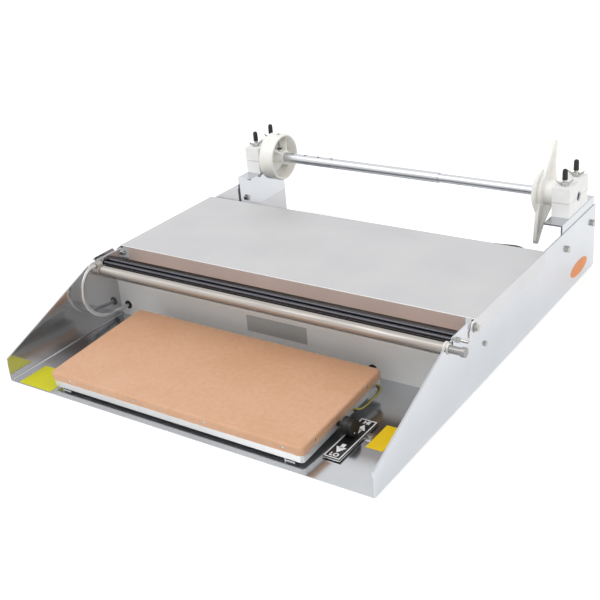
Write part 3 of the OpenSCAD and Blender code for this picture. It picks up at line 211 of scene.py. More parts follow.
# Painted highlight: a blue-grey silicone for the strip's rounded front edge, which draws a highlight line.
painted_highlight_silicone = moulded("painted_highlight_silicone", "#6B6A78", "#5F5E6B", 0.3)
steatite = moulded("white_steatite", "#EDEBE4", "#DFDCD2", 0.45)
cord_rubber = moulded("black_cord_rubber", "#1C1C1D", "#262627", 0.46, grit=0.0006)
black_lead = moulded("black_silicone_lead", "#191919", "#232323", 0.4)
yellow_lead = moulded("yellow_silicone_lead", "#A79F50", "#968E44", 0.4)
orange_vinyl = moulded("orange_vinyl_label", "#EE9040", "#E88838", 0.4, grit=0.0006, depth=0.00001)
black_print = moulded("black_anodised_plate", "#141416", "#1C1C1E", 0.34, grit=0.0006, depth=0.00001)
white_print = moulded("white_print", "#F2F2F2", "#E6E6E6", 0.5, grit=0.0006, depth=0.00001)
ceramic_pad = moulded("ceramic_fibre_pad", "#DDD9CE", "#C9C4B6", 0.95, grit=0.002, depth=0.0003)
mica_sheet = moulded("mica_sheet", "#8F7D5C", "#73634A", 0.35)


# Yellow vinyl of the two floor labels: the left one is greener
def label_vinyl():
    material, tree, shader, where = surface("yellow_vinyl_label")
    side = add(tree, "ShaderNodeSeparateXYZ", {"Vector": where}).outputs["X"]
    share = between(tree, side, 0, 1, -0.1, 0.1)
    tree.links.new(blended(tree, share, "#D2CF00", "#F4CC00"), shader.inputs["Base Color"])
    fine = noise(tree, where, 0.0006)
    tree.links.new(between(tree, fine, 0.36, 0.44), shader.inputs["Roughness"])
    return material


yellow_vinyl = label_vinyl()


# Aluminium plate, milled flat
def milled_aluminium():
    material, tree, shader, where = surface("milled_aluminium", Metallic=1.0)
    marks = noise(tree, where, 0.001, (1, 40, 1), 3)
    colour = blended(tree, between(tree, marks, 0, 1), "#D2D3D5", "#BCBDC0")
    tree.links.new(colour, shader.inputs["Base Color"])
    tree.links.new(between(tree, marks, 0.25, 0.4), shader.inputs["Roughness"])
    return material


aluminium = milled_aluminium()
brass = drawn_tube("nickel_plated_brass", "#C9B27A", "#B39A62", 0.22)


# Glass cloth with a non-stick coating: plain weave under a tan film, drawn at 1.4 mm so that it shows
weave_step = 0.0014


def coated_cloth():
    material, tree, shader, where = surface("coated_glass_cloth", Roughness=0.45, Coat_Weight=0.12)
    shader.inputs["Coat Roughness"].default_value = 0.3
    cloud = noise(tree, where, 0.06, detail=4)
    fine = noise(tree, where, 0.006, detail=3)
    both = add(tree, "ShaderNodeMath", {0: cloud, 1: fine}, operation="ADD").outputs[0]
    tree.links.new(
        blended(tree, between(tree, both, 0, 1, 0.8, 1.2), "#D9AB89", "#D3A27E"),
        shader.inputs["Base Color"],
    )
    waves = []
    for direction in ("X", "Y"):
        names = {"Vector": where, "Scale": 0.314 / weave_step, "Distortion": 0.4, "Detail": 1.0}
        waves.append(add(tree, "ShaderNodeTexWave", names, bands_direction=direction).outputs["Fac"])
    thread = add(tree, "ShaderNodeMath", {0: waves[0], 1: waves[1]}, operation="MULTIPLY").outputs[0]
    tree.links.new(between(tree, fine, 0.38, 0.46), shader.inputs["Roughness"])
    bumped(tree, shader, thread, 0.00004, 0.3)
    return material


glass_cloth = coated_cloth()


# Modelling helpers
def only(piece):
    """Selects one piece alone and makes it active."""
    if bpy.context.mode != "OBJECT":
        bpy.ops.object.mode_set(mode="OBJECT")
    bpy.ops.object.select_all(action="DESELECT")
    piece.select_set(True)
    bpy.context.view_layer.objects.active = piece


def settle(piece):
    """Puts a piece's place into its mesh."""
    only(piece)
    bpy.ops.object.transform_apply(location=True, rotation=True, scale=True)
    return piece


def start(name, adder, scale=(1, 1, 1), **shape):
    """Adds a primitive at its size and place under a piece's name."""
    bpy.ops.object.select_all(action="DESELECT")
    adder(**shape)
    piece = bpy.context.object
    piece.name = piece.data.name = name
    piece.scale = scale
    return settle(piece)


def block(name, low, high):
    """A cube primitive from its lowest to its highest corner."""
    low, high = Vector(low), Vector(high)
    return start(name, bpy.ops.mesh.primitive_cube_add, size=1, location=(low + high) / 2, scale=high - low)


TURNS = {"X": (0, math.pi / 2, 0), "Y": (-math.pi / 2, 0, 0), "Z": (0, 0, 0)}
AXES = {"X": Vector((1, 0, 0)), "Y": Vector((0, 1, 0)), "Z": Vector((0, 0, 1))}


def choose(piece, kind, test):
    """Opens edit mode with the vertices, edges or faces selected whose middle and direction pass a test."""
    only(piece)
    bpy.ops.object.mode_set(mode="EDIT")
    bpy.ops.mesh.select_mode(type=kind)
    bpy.ops.mesh.select_all(action="DESELECT")
    bpy.ops.object.mode_set(mode="OBJECT")
    mesh = piece.data
    if kind == "VERT":
        for v in mesh.vertices:
            v.select = test(v.co, v.normal)
    elif kind == "EDGE":
        for e in mesh.edges:
            a, b = (mesh.vertices[i].co for i in e.vertices)
            e.select = test((a + b) / 2, (b - a).normalized())
    else:
        for f in mesh.polygons:
            f.select = test(f.center, f.normal)
    bpy.ops.object.mode_set(mode="EDIT")


def close_edit():
    bpy.ops.object.mode_set(mode="OBJECT")


def modify(piece, kind, **settings):
    """Adds a modifier and applies it."""
    only(piece)
    made = piece.modifiers.new(kind, kind)
    for name, value in settings.items():
        setattr(made, name, value)
    bpy.ops.object.modifier_apply(modifier=made.name)


def rounded(piece, width, segments=2, angle=35):
    """Rounds all sharp edges of a piece by a width in millimetres."""
    modify(
        piece, "BEVEL", width=width * mm, segments=segments, limit_method="ANGLE",
        angle_limit=math.radians(angle), harden_normals=False, use_clamp_overlap=True,
    )
    return piece


def turned(name, at, axis, stations, sides=48, ring=False, ends="closed"):
    """A turned piece: a circle extruded and resized from station to station, (distance, radius) in mm."""
    at, way = Vector(at), AXES[axis]
    first = stations[0]
    piece = start(
        name, bpy.ops.mesh.primitive_circle_add, vertices=sides, radius=first[1] * mm,
        location=at + way * first[0] * mm, rotation=TURNS[axis],
    )
    only(piece)
    bpy.ops.object.mode_set(mode="EDIT")
    bpy.ops.mesh.select_mode(type="VERT")
    bpy.ops.mesh.select_all(action="SELECT")
    if not ring and ends == "closed":
        bpy.ops.mesh.edge_face_add()
    for before, now in zip(stations, stations[1:]):
        step = way * (now[0] - before[0]) * mm
        bpy.ops.mesh.extrude_region_move(TRANSFORM_OT_translate={"value": step})
        size = now[1] / before[1]
        across = [1 if w else size for w in way]
        bpy.ops.transform.resize(value=across, center_override=at + way * now[0] * mm)
    if ring:
        bpy.ops.mesh.select_mode(type="EDGE")
        bpy.ops.mesh.select_all(action="DESELECT")
        bpy.ops.mesh.select_non_manifold()
        bpy.ops.mesh.bridge_edge_loops()
    bpy.ops.mesh.select_all(action="SELECT")
    bpy.ops.mesh.normals_make_consistent(inside=False)
    close_edit()
    return piece


def joined(name, pieces):
    """Joins pieces into one under a new name."""
    bpy.ops.object.select_all(action="DESELECT")
    for piece in pieces:
        piece.select_set(True)
    bpy.context.view_layer.objects.active = pieces[0]
    if len(pieces) > 1:
        bpy.ops.object.join()
    whole = bpy.context.object
    whole.name = whole.data.name = name
    return whole


def copied(piece, move, turn=None):
    """A copy with its own mesh, turned about the origin by a matrix and then moved."""
    twin = piece.copy()
    twin.data = piece.data.copy()
    scene.collection.objects.link(twin)
    twin.data.transform(Matrix.Translation(move) @ (turn or Matrix.Identity(4)))
    return twin


def done(piece, body, material, replaced=(), angle=35):
    """Smooths a finished piece, gives it its material and puts it on its body in place of CAD nodes."""
    only(piece)
    bpy.ops.object.shade_smooth_by_angle(angle=math.radians(angle))
    piece.data.materials.clear()
    piece.data.materials.append(material)
    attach(piece, body)
    if replaced:
        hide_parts(*replaced)
    return piece


def folded(name, node, body, material, width=0.35, edges=None, fold=1.8):
    """A sheet or block with its own softly rounded edges, from the node's exact outline."""
    piece = nodes[node].copy()
    piece.data = nodes[node].data.copy()
    piece.name = piece.data.name = name
    for key in list(piece.keys()):
        del piece[key]
    piece.parent = None
    scene.collection.objects.link(piece)
    only(piece)
    bpy.ops.object.mode_set(mode="EDIT")
    bpy.ops.mesh.select_all(action="SELECT")
    bpy.ops.mesh.remove_doubles(threshold=0.00002)
    bpy.ops.mesh.dissolve_limited(angle_limit=math.radians(0.5))
    close_edit()
    if edges:
        choose(piece, "EDGE", edges)
        bpy.ops.mesh.bevel(offset=fold * mm, segments=5, affect="EDGES", clamp_overlap=True)
        close_edit()
    if width:
        rounded(piece, width, 2, 40)
    done(piece, body, material, [node])
    modify(piece, "WEIGHTED_NORMAL", keep_sharp=True, weight=100)
    return piece


def faced(piece, material, test):
    """Gives the faces whose middle and direction pass a test another material."""
    piece.data.materials.append(material)
    for f in piece.data.polygons:
        if test(f.center, f.normal):
            f.material_index = len(piece.data.materials) - 1


# Power cord: from the strain relief along the counter behind the unit into a round coil
cord_d = 6.8
cord_points = [
    (150, 308, 16), (150, 318, 16), (152, 332, 15), (156, 350, 11), (162, 374, 6.5), (168, 405, 5),
    (174, 440, 5), (178, 480, 5), (180, 520, 5), (180, 560, 5), (180, 600, 5), (180, 622, 5),
    (179, 635, 5), (175, 645, 5), (168.5, 653.5, 5), (159.5, 659.5, 4.8), (149, 662, 4.2),
    (138, 661.5, 3.6), (124, 659.5, 3.5), (108, 658.4, 3.4), (80, 658.2, 3.4), (0, 658.2, 3.4),
    (-90, 658.2, 3.4), (-180, 658.2, 3.4), (-270, 658.2, 3.4), (-300, 658.2, 3.6), (-316, 658.2, 4.2),
]
coil_middle = (-334, 611.95)
coil_inner = 30.1
coil_step = 7.6
coil_turns = 4.25
coil_low = 4.4
tail_length = 42


def coil_point(turn):
    radius = coil_inner + coil_step * abs(turn - coil_turns / 2)
    angle = math.radians(90 + 360 * turn)
    climb = min(max((turn - coil_turns / 2 + 0.25) / 0.5, 0), 1)
    x, y = coil_middle
    return (x + radius * math.cos(angle), y + radius * math.sin(angle), coil_low + coil_step * climb)


def power_cord():
    coil = [coil_point(k / 24) for k in range(int(24 * coil_turns) + 1)]
    lead_in = (coil[0][0] + cord_d, coil[0][1], coil_low)
    tail = [(coil[-1][0], coil[-1][1] - tail_length * k / 4, coil[-1][2]) for k in range(1, 5)]
    route = [place(*p) for p in cord_points + [lead_in] + coil + tail]
    curve = bpy.data.curves.new("supply_cord", "CURVE")
    curve.dimensions = "3D"
    spline = curve.splines.new("BEZIER")
    spline.bezier_points.add(len(route) - 1)
    for point, at in zip(spline.bezier_points, route):
        point.co = at
        point.handle_left_type = point.handle_right_type = "AUTO"
    curve.resolution_u = 4
    curve.bevel_depth = cord_d / 2 * mm
    curve.bevel_resolution = 4
    curve.use_fill_caps = True
    cord = bpy.data.objects.new("supply_cord", curve)
    scene.collection.objects.link(cord)
    curve.materials.append(cord_rubber)
    bpy.context.view_layer.update()
    length = spline.calc_length()
    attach(cord, "frame")
    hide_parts("power_cord", "cord_coil")
    return cord, route[0], length


supply_cord, cord_exit, cord_length = power_cord()


# CAD nodes that keep their shape
kept = {
    "pan_rivets": zinc, "wiring_cover": bright_steel, "side_screws": zinc,
    "terminal_block": steatite, "terminal_screws": brass, "inner_leads": black_lead,
    "rod_heater": heater_steel, "rod_bushes": steatite, "block_studs": zinc, "plate_feet": bright_steel,
    "insulation_pad": ceramic_pad, "heating_element": mica_sheet, "heating_plate": aluminium,
    "thermostat": black_phenolic, "plate_lead": black_lead, "plug_pins": brass,
    "floor_labels": yellow_vinyl, "side_label": orange_vinyl, "name_plate": plate_steel,
}
for node, material in kept.items():
    nodes[node].data.materials.clear()
    nodes[node].data.materials.append(material)


# Folded sheet and turned tube, with the rounded folds and edges that catch the light; the bright line on
# the riser's top and the deck's front fold is a painted highlight
pan = folded("pan", "base_pan", "frame", pan_steel, 0.5)
# The pan's inner side walls take the painted-light sheet.
faced(pan, painted_light_wall_steel, lambda at, way: 0.27 < abs(at.x) < 0.279 and way.x * math.copysign(1, at.x) < -0.9)
# The riser takes the painted-light sheet.
riser = folded("riser", "riser_panel", "frame", painted_light_riser_steel, 0.4)
# The riser's top lip gets the painted highlight.
riser_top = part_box("riser_panel")[1].z - 0.0016
faced(riser, painted_highlight_steel, lambda at, way: at.z > riser_top and way.z > -0.5)
# The gripper channel takes the sheet with painted shade and painted reflection.
folded("film_gripper_channel", "gripper_channel", "frame", painted_shade_reflection_steel, 0.2)
folded("ear_plates", "end_plates", "frame", pan_steel, 0.3)
deck_front = (240.7 - half_depth) * mm
deck = folded(
    "deck", "deck_cover", "deck", deck_steel, 0.4,
    lambda at, way: abs(way.x) > 0.9 and abs(at.y - deck_front) < 0.0002 and at.z > 0.1,
)
# The deck's rounded front top edge gets the painted highlight.
faced(deck, painted_highlight_steel, lambda at, way: at.y < deck_front + 0.0019 and at.z > 0.097 and 0.1 < way.z < 0.97)
# The deck's front lip face gets the painted reflection of the tan cloth.
faced(deck, painted_reflection_lip_steel, lambda at, way: at.y < deck_front + 0.0002 and way.y < -0.97)
folded("roll_arms", "roll_brackets", "frame", pan_steel, 0.6)
folded("bearing_lower_halves", "lower_blocks", "frame", white_acetal, 0.8)
folded("bearing_upper_halves", "upper_blocks", "frame", white_acetal, 0.8)
folded("roll_tube", "axle_tube", "axle", axle_chrome, 0.25)
folded("roll_rod", "axle_rod", "axle", axle_chrome, 0.25)
folded("cut_off_rod", "rod_tube", "frame", rod_steel, 0.25)
# The hot plate tray takes the painted-light sheet.
folded("hot_plate_tray", "plate_tray", "frame", painted_light_tray_steel, 0.4)
folded("knob_bracket", "legend_bracket", "frame", bright_steel, 0.3)
strip = folded(
    "film_grip_strip", "gripper_strip", "frame", silicone_strip, 0.3,
    lambda at, way: abs(way.x) > 0.9, 1.2,
)
# The strip's rounded front top edge gets the painted highlight.
faced(strip, painted_highlight_silicone, lambda at, way: 0.25 < way.z < 0.9 and way.y < -0.2)
folded("grommets", "riser_grommets", "frame", black_rubber, 0.4)
folded("rod_left_socket", "rod_socket", "frame", rod_steel, 0.6)
folded("rod_right_cap", "rod_end_cap", "frame", heater_steel, 0.5)
folded("channel_end_screws", "channel_screws", "frame", zinc, 0.3)
folded("deck_pivots", "deck_pivot_bolts", "frame", zinc, 0.3)
folded("arm_bolts", "bracket_bolts", "frame", zinc, 0.4)
folded("pan_screws", "floor_screws", "frame", zinc, 0.4)
folded("cord_gland", "strain_relief", "frame", black_rubber, 0.5)
coil_tie = folded("coil_tie", "cord_tie", "frame", black_rubber, 0.2)
plug_body = folded("plug_body", "power_plug", "frame", black_rubber, 1.4)

# Hot plate: its own frame, tilted up at the back
plate_left, plate_right = -210, 182
plate_front, plate_low = 10.5, 26.5
plate_depth, plate_tilt = 177.2, 3.3
skirt_height = 11
cloth_thick = 0.8


def on_plate(piece):
    """Moves a piece made in the plate's own frame to the tilted plate."""
    piece.location = place(0, plate_front, plate_low)
    piece.rotation_euler = (math.radians(plate_tilt), 0, 0)
    return settle(piece)


# Glass cloth stretched over the plate, folded round its edges and gathered at its corners
edge_round = 2.4
corner_round = 5


def cloth_ripple(x, y, z):
    """How far the cloth stands off its plate, in mm: long ripples, waves in the hem, pleats at corners."""
    middle, half_x = (plate_left + plate_right) / 2, (plate_right - plate_left) / 2
    half_y = plate_depth / 2
    long_wave = wave.noise(Vector((x / 95, y / 60, 0))) + 0.3 * wave.noise(Vector((x / 34, y / 42, 5)))
    out = 0.3 + 0.4 * long_wave
    if z > -edge_round and y < 7:
        out += 0.5 * (1 - max(y, 0) / 7) * (0.45 + wave.noise(Vector((x / 15, 1, 3))))
    corner_x = abs(x - middle) - (half_x - corner_round)
    corner_y = abs(y - half_y) - (half_y - corner_round)
    far = math.hypot(min(corner_x, 0), min(corner_y, 0))
    if far < 22:
        angle = math.atan2(max(corner_y, 0.01) + 2, max(corner_x, 0.01) + 2)
        drop = min(-z / skirt_height + 0.25, 1)
        out += 0.75 * (1 - far / 22) ** 2 * drop * math.cos(14 * angle + 0.35 * far)
    if z < -edge_round:
        out += 0.35 * (-z / skirt_height) * wave.noise(Vector((x / 13, y / 13, 9)))
    return max(out, 0)


def glass_cloth_cover():
    width = plate_right - plate_left
    flat_x, flat_y = width - 2 * edge_round, plate_depth - 2 * edge_round
    middle = Vector(((plate_left + plate_right) / 2, plate_depth / 2, 0)) * mm
    piece = start(
        "glass_cloth_cover", bpy.ops.mesh.primitive_grid_add, x_subdivisions=112, y_subdivisions=48,
        size=1, location=middle, scale=(flat_x * mm, flat_y * mm, 1),
    )
    choose(piece, "EDGE", lambda at, way: False)
    bpy.ops.mesh.select_non_manifold()
    rows = [
        (edge_round * math.sin(math.radians(a)), -edge_round * (1 - math.cos(math.radians(a))))
        for a in (30, 60, 90)
    ]
    rows += [(edge_round, -edge_round - (skirt_height - edge_round) * k / 5) for k in range(1, 6)]
    out_before, low_before = 0, 0
    for out, low in rows:
        bpy.ops.mesh.extrude_region_move(TRANSFORM_OT_translate={"value": (0, 0, (low - low_before) * mm)})
        size = [(flat + 2 * out) / (flat + 2 * out_before) for flat in (flat_x, flat_y)] + [1]
        bpy.ops.transform.resize(value=size, center_override=middle + Vector((0, 0, low * mm)))
        out_before, low_before = out, low
    bpy.ops.mesh.select_all(action="SELECT")
    bpy.ops.mesh.normals_make_consistent(inside=False)
    close_edit()
    if piece.data.polygons[0].normal.z < 0:
        piece.data.flip_normals()
    half_x, half_y = width / 2 - corner_round, plate_depth / 2 - corner_round
    for v in piece.data.vertices:
        side = v.co / mm - middle / mm
        over_x, over_y = abs(side.x) - half_x, abs(side.y) - half_y
        if over_x > 0 and over_y > 0:
            pull = max(over_x, over_y) / math.hypot(over_x, over_y)
            side.x = math.copysign(half_x + over_x * pull, side.x)
            side.y = math.copysign(half_y + over_y * pull, side.y)
        v.co = (side + middle / mm) * mm
    normals = [v.normal.copy() for v in piece.data.vertices]
    for v, normal in zip(piece.data.vertices, normals):
        x, y, z = v.co / mm
        v.co += normal * cloth_ripple(x, y, z) * mm
    modify(piece, "SUBSURF", levels=1, render_levels=1)
    modify(piece, "SOLIDIFY", thickness=cloth_thick * mm, offset=-1)
    on_plate(piece)
    return done(piece, "frame", glass_cloth, ["cloth_cover"], 60)


cloth_cover = glass_cloth_cover()


# Small domed studs through the cloth's hem
front_stud_share = (0.09, 0.366, 0.647, 0.935)
side_stud_share = (0.145, 0.8)
stud_low = -4.73


def hem_studs():
    dome = [(0, 2.0), (0.35, 1.96), (0.7, 1.62), (0.95, 1.05), (1.1, 0.35)]
    one = turned("hem_stud", (0, 0, 0), "Z", dome, 20)
    width = plate_right - plate_left
    places = []
    for share in front_stud_share:
        x = plate_left + share * width
        places += [((x, -0.2, stud_low), "X", 90), ((x, plate_depth + 0.2, stud_low), "X", -90)]
    for share in side_stud_share:
        y = share * plate_depth
        places += [((plate_right + 0.2, y, stud_low), "Y", 90), ((plate_left - 0.2, y, stud_low), "Y", -90)]
    studs = [
        copied(one, Vector(at) * mm, Matrix.Rotation(math.radians(turn), 4, axis))
        for at, axis, turn in places
    ]
    bpy.data.objects.remove(one)
    return done(on_plate(joined("hem_studs", studs)), "frame", zinc, ["cover_rivets"])


hem_studs()


# Knob with a smooth body, a ribbed end and a white mark
def heat_knob():
    low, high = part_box("control_knob")
    at = Vector((0, (low.y + high.y) / 2, (low.z + high.z) / 2))
    start_x, end_x = high.x / mm - 15, high.x / mm
    stations = [
        (low.x / mm, 3), (start_x, 3), (start_x, 10.2), (start_x + 0.4, 11), (start_x + 1.8, 11),
        (start_x + 2.3, 10.3), (start_x + 7.5, 10.1), (start_x + 8, 10.9), (end_x - 0.8, 10.7),
        (end_x - 0.2, 10.1), (end_x, 9.5), (end_x, 8), (end_x - 0.4, 7.6), (end_x - 0.4, 0.6),
    ]
    piece = turned("heat_knob", at, "X", stations, 64)
    mid = (start_x + 8 + end_x - 0.8) / 2 * mm

    def groove(centre, normal):
        angle = math.degrees(math.atan2(centre.z - at.z, centre.y - at.y)) % 360
        return abs(centre.x - mid) < 0.0005 and int(angle / 5.625) % 2 == 0

    choose(piece, "FACE", groove)
    bpy.ops.mesh.extrude_region_move()
    bpy.ops.transform.resize(value=(1, 0.94, 0.94), center_override=(mid, at.y, at.z))
    close_edit()
    done(piece, "knob", black_phenolic, ["control_knob"], 30)
    mark_at = Vector((high.x - 0.0004, at.y - 0.0024, at.z - 0.0053))
    mark = turned("knob_mark", mark_at, "X", [(0, 0.9), (0.35, 0.9), (0.45, 0.7)], 16)
    done(mark, "knob", white_print)


heat_knob()


# Legend plate: black, with a white border, two arrows and HI and LO
print_high = 0.06


def legend():
    low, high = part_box("legend_plate")
    plate = rounded(block("knob_legend", low, high), 0.25)
    done(plate, "frame", black_print, ["legend_plate"])
    top = high.z
    middle_x = (low.x + high.x) / 2
    z0, z1 = top - 0.0001, top + print_high * mm
    rim = 0.5 * mm
    border = block("legend_print", (low.x + rim, low.y + rim, z0), (high.x - rim, high.y - rim, z1))
    choose(border, "FACE", lambda centre, normal: abs(normal.z) > 0.9)
    bpy.ops.mesh.inset(thickness=1.5 * mm)
    bpy.ops.mesh.delete(type="FACE")
    reach_x, reach_y = (high.x - low.x) / 2 - 1.9 * mm, (high.y - low.y) / 2 - 1.9 * mm
    middle_y = (low.y + high.y) / 2
    choose(
        border, "EDGE",
        lambda at, way: abs(at.x - middle_x) < reach_x and abs(at.y - middle_y) < reach_y,
    )
    bpy.ops.mesh.bridge_edge_loops()
    close_edit()
    parts = [border]
    for end, way, word in ((low.y, 1, "LO"), (high.y, -1, "HI")):
        bpy.ops.object.text_add(location=(middle_x, end + way * 0.0068, top - 0.0001))
        text = bpy.context.object
        text.data.body = word
        text.data.size = 0.0088
        text.data.offset = 0.00035
        text.data.align_x = text.data.align_y = "CENTER"
        text.data.extrude = 0.00016
        only(text)
        bpy.ops.object.convert(target="MESH")
        parts.append(settle(bpy.context.object))
        shaft_y = end + way * 0.0255
        parts.append(block(
            "arrow_shaft", (middle_x - 0.0026, shaft_y - 0.0042, z0),
            (middle_x + 0.0026, shaft_y + 0.0042, z1),
        ))
        parts.append(start(
            "arrow_head", bpy.ops.mesh.primitive_cylinder_add, vertices=3, radius=0.0076, depth=z1 - z0,
            location=(middle_x, shaft_y - way * 0.0064, (z0 + z1) / 2),
            rotation=(0, 0, math.pi if way > 0 else 0),
        ))
    done(joined("legend_print", parts), "frame", white_print)


legend()


# Left core wheel: a moulded cup with hub and four ribs, and its pull pin
def left_wheel():
    low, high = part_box("core_wheel")
    at = (low.x, (low.y + high.y) / 2, (low.z + high.z) / 2)
    hub = (high.x - low.x) / mm
    rim = [(0, 8.05), (0, 37.2), (1, 38.5), (hub - 3, 37.7), (hub - 2, 36.9), (hub - 2, 34.6),
           (hub - 3, 34.0), (3.2, 33.2), (2.8, 12), (hub, 11.4), (hub, 8.05)]
    wheel = turned("left_core_wheel", at, "X", rim, 72, ring=True)
    rounded(wheel, 0.7, 3, 30)
    ribs = []
    for quarter in range(4):
        rib = block("wheel_rib", (0.0025, 0.0105, -0.0016), ((hub - 3) * mm, 0.0338, 0.0016))
        choose(rib, "VERT", lambda co, normal: co.x > 0.01 and co.y > 0.02)
        bpy.ops.transform.translate(value=(-0.011, 0, 0))
        close_edit()
        rounded(rib, 0.6, 2, 30)
        turn = Matrix.Rotation(math.radians(45 + 90 * quarter), 4, "X")
        rib.data.transform(Matrix.Translation(Vector(at)) @ turn)
        ribs.append(rib)
    whole = joined("left_core_wheel", [wheel] + ribs)
    done(whole, "wheel", ivory_nylon, ["core_wheel"], 40)
    pin_low, pin_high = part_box("core_pin")
    pin_at = ((pin_low.x + pin_high.x) / 2, at[1], at[2])
    shank = turned("pull_pin", pin_at, "Z", [(8.3, 1.5), (8.9, 2.1), (41, 2.1), (41.4, 1.8)], 24)
    stop = [(13.3, 2.2), (13.3, 3.9), (14.1, 4.3), (14.9, 3.9), (14.9, 2.2)]
    ring = turned("pin_stop_ring", pin_at, "Z", stop, 28, ring=True)
    button = [(40.3, 3.6), (40.5, 4.1), (40.9, 4.1), (41.3, 3.4), (41.5, 1.2)]
    head = turned("pin_head", pin_at, "Z", button, 28)
    done(shank, "pin", zinc, ["core_pin"])
    done(ring, "pin", black_rubber)
    done(head, "pin", ivory_nylon)


left_wheel()


# Right core plug: a domed plug with a long two-lobed wing behind it
def right_plug():
    low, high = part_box("core_plug")
    at = (low.x, (low.y + high.y) / 2, (low.z + high.z) / 2)
    dome = [(0.6, 6.95), (0, 7.6), (0, 11.6), (0.4, 14), (1.2, 17.5), (2.3, 21.2), (3.9, 24.8),
            (5.8, 28), (8, 31), (10.2, 33.4), (11.8, 34.8), (12.6, 35.4), (13, 35.5), (13, 6.95)]
    plug = turned("core_plug_dome", at, "X", dome, 72, ring=True)
    done(plug, "plug", ivory_nylon, ["core_plug"], 50)


def wing():
    low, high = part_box("wing_flange")
    tilt = math.radians(-27)
    face = block("core_wing", (0, -0.024, -0.0198), (0.005, 0.024, 0.0198))
    for way in (1, -1):
        choose(face, "FACE", lambda centre, normal: normal.y * way > 0.9)
        bpy.ops.mesh.extrude_region_move(TRANSFORM_OT_translate={"value": (0, way * 0.051, 0)})
        bpy.ops.transform.resize(value=(1, 1, 0.25), center_override=(0.0025, way * 0.075, 0))
        close_edit()
    choose(face, "EDGE", lambda at, way: abs(way.x) > 0.9 and abs(at.y) > 0.06)
    bpy.ops.mesh.bevel(offset=0.0045, segments=8, affect="EDGES")
    close_edit()
    choose(face, "EDGE", lambda at, way: abs(way.x) > 0.9 and 0.02 < abs(at.y) < 0.028)
    bpy.ops.mesh.bevel(offset=0.012, segments=8, affect="EDGES")
    close_edit()
    fin = block("core_wing_fin", (0.004, -0.02, -0.0021), (0.015, 0.02, 0.0021))
    for way in (1, -1):
        choose(fin, "FACE", lambda centre, normal: normal.y * way > 0.9)
        bpy.ops.mesh.extrude_region_move(TRANSFORM_OT_translate={"value": (0, way * 0.041, 0)})
        bpy.ops.transform.resize(value=(0.1, 1, 0.8), center_override=(0.004, way * 0.061, 0))
        close_edit()
    shape = [(0.3, 27.4), (4.1, 27.4), (4.7, 26.8), (4.7, 18.6), (5.6, 17.8), (22.3, 17.8),
             (23.5, 17.2), (24, 16.2), (24, 6.95), (0.3, 6.95)]
    hub = turned("core_wing_hub", (0, 0, 0), "X", shape, 96, ring=True)
    for other in (fin, hub):
        modify(face, "BOOLEAN", operation="UNION", object=other, solver="EXACT")
        bpy.data.objects.remove(other)
    rounded(face, 1.0, 3, 30)
    turn = Matrix.Rotation(math.radians(90) + tilt, 4, "X")
    face.data.transform(Matrix.Translation((low.x, (low.y + high.y) / 2, (low.z + high.z) / 2)) @ turn)
    done(face, "plug", ivory_nylon, ["wing_flange"], 40)


right_plug()
wing()


# Wing nuts: one is modelled, and a copy stands on each stud
def wing_nut():
    hub = turned("wing_nut", (0, 0, 0), "Z", [(0, 5.2), (0.3, 5.4), (1, 5.4), (4.2, 4.5), (4.6, 4.1)], 32)
    wings = []
    for way in (1, -1):
        piece = block("wing_nut_ear", (0.0030, -0.0009, 0.0006), (0.0054, 0.0009, 0.0044))
        choose(piece, "FACE", lambda centre, normal: normal.x > 0.9)
        bpy.ops.mesh.extrude_region_move(TRANSFORM_OT_translate={"value": (0.0046, 0, 0.0024)})
        bpy.ops.mesh.extrude_region_move(TRANSFORM_OT_translate={"value": (0.0018, 0, 0.0022)})
        bpy.ops.transform.resize(value=(1, 1, 0.7), center_override=(0.0118, 0, 0.008))
        close_edit()
        rounded(piece, 0.55, 3, 30)
        if way < 0:
            piece.data.transform(Matrix.Rotation(math.pi, 4, "Z"))
        wings.append(piece)
    return joined("wing_nut", [hub] + wings)


nut_turns = {
    "wing_nut_left_front": 60, "wing_nut_left_rear": 20,
    "wing_nut_right_front": 35, "wing_nut_right_rear": 10,
}


def wing_nuts():
    one = wing_nut()
    for node, turn in nut_turns.items():
        low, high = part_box(node)
        at = Vector(((low.x + high.x) / 2, (low.y + high.y) / 2, low.z))
        twin = copied(one, at, Matrix.Rotation(math.radians(turn), 4, "Z"))
        twin.name = twin.data.name = node.replace("wing_nut", "bearing_nut")
        body = node.replace("wing_nut", "nut")
        done(twin, body, zinc, [node])
    bpy.data.objects.remove(one)


wing_nuts()


# Rubber caps on the studs
def stud_caps():
    low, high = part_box("stud_caps")
    tall = (high.z - low.z) / mm
    shape = [(0, 3.3), (0.3, 3.75), (1, 3.9), (tall - 4.2, 3.7), (tall - 2.4, 3.5), (tall - 1.1, 2.8),
             (tall - 0.3, 1.6), (tall, 0.4)]
    one = turned("stud_cap", (0, 0, 0), "Z", shape, 28)
    places = []
    for x in (low.x + 0.0039, high.x - 0.0039):
        for y in (low.y + 0.0039, high.y - 0.0039):
            places.append(copied(one, Vector((x, y, low.z))))
    bpy.data.objects.remove(one)
    done(joined("rubber_stud_caps", places), "frame", black_rubber, ["stud_caps"], 45)


stud_caps()


# Armoured cable: one rib is repeated along the cable's line and bent with it
cable_x = -264
cable_points = [
    (168.7, 101), (164, 101), (155, 100), (148, 95), (141, 86), (138, 75), (137, 64.4), (140, 52.4),
    (147, 40.4), (159, 29.4), (174, 21.9), (192, 21), (206, 18.6), (215, 18), (226, 18), (239.9, 18),
]
rib_step = 1.3
cable_radius = 2.85


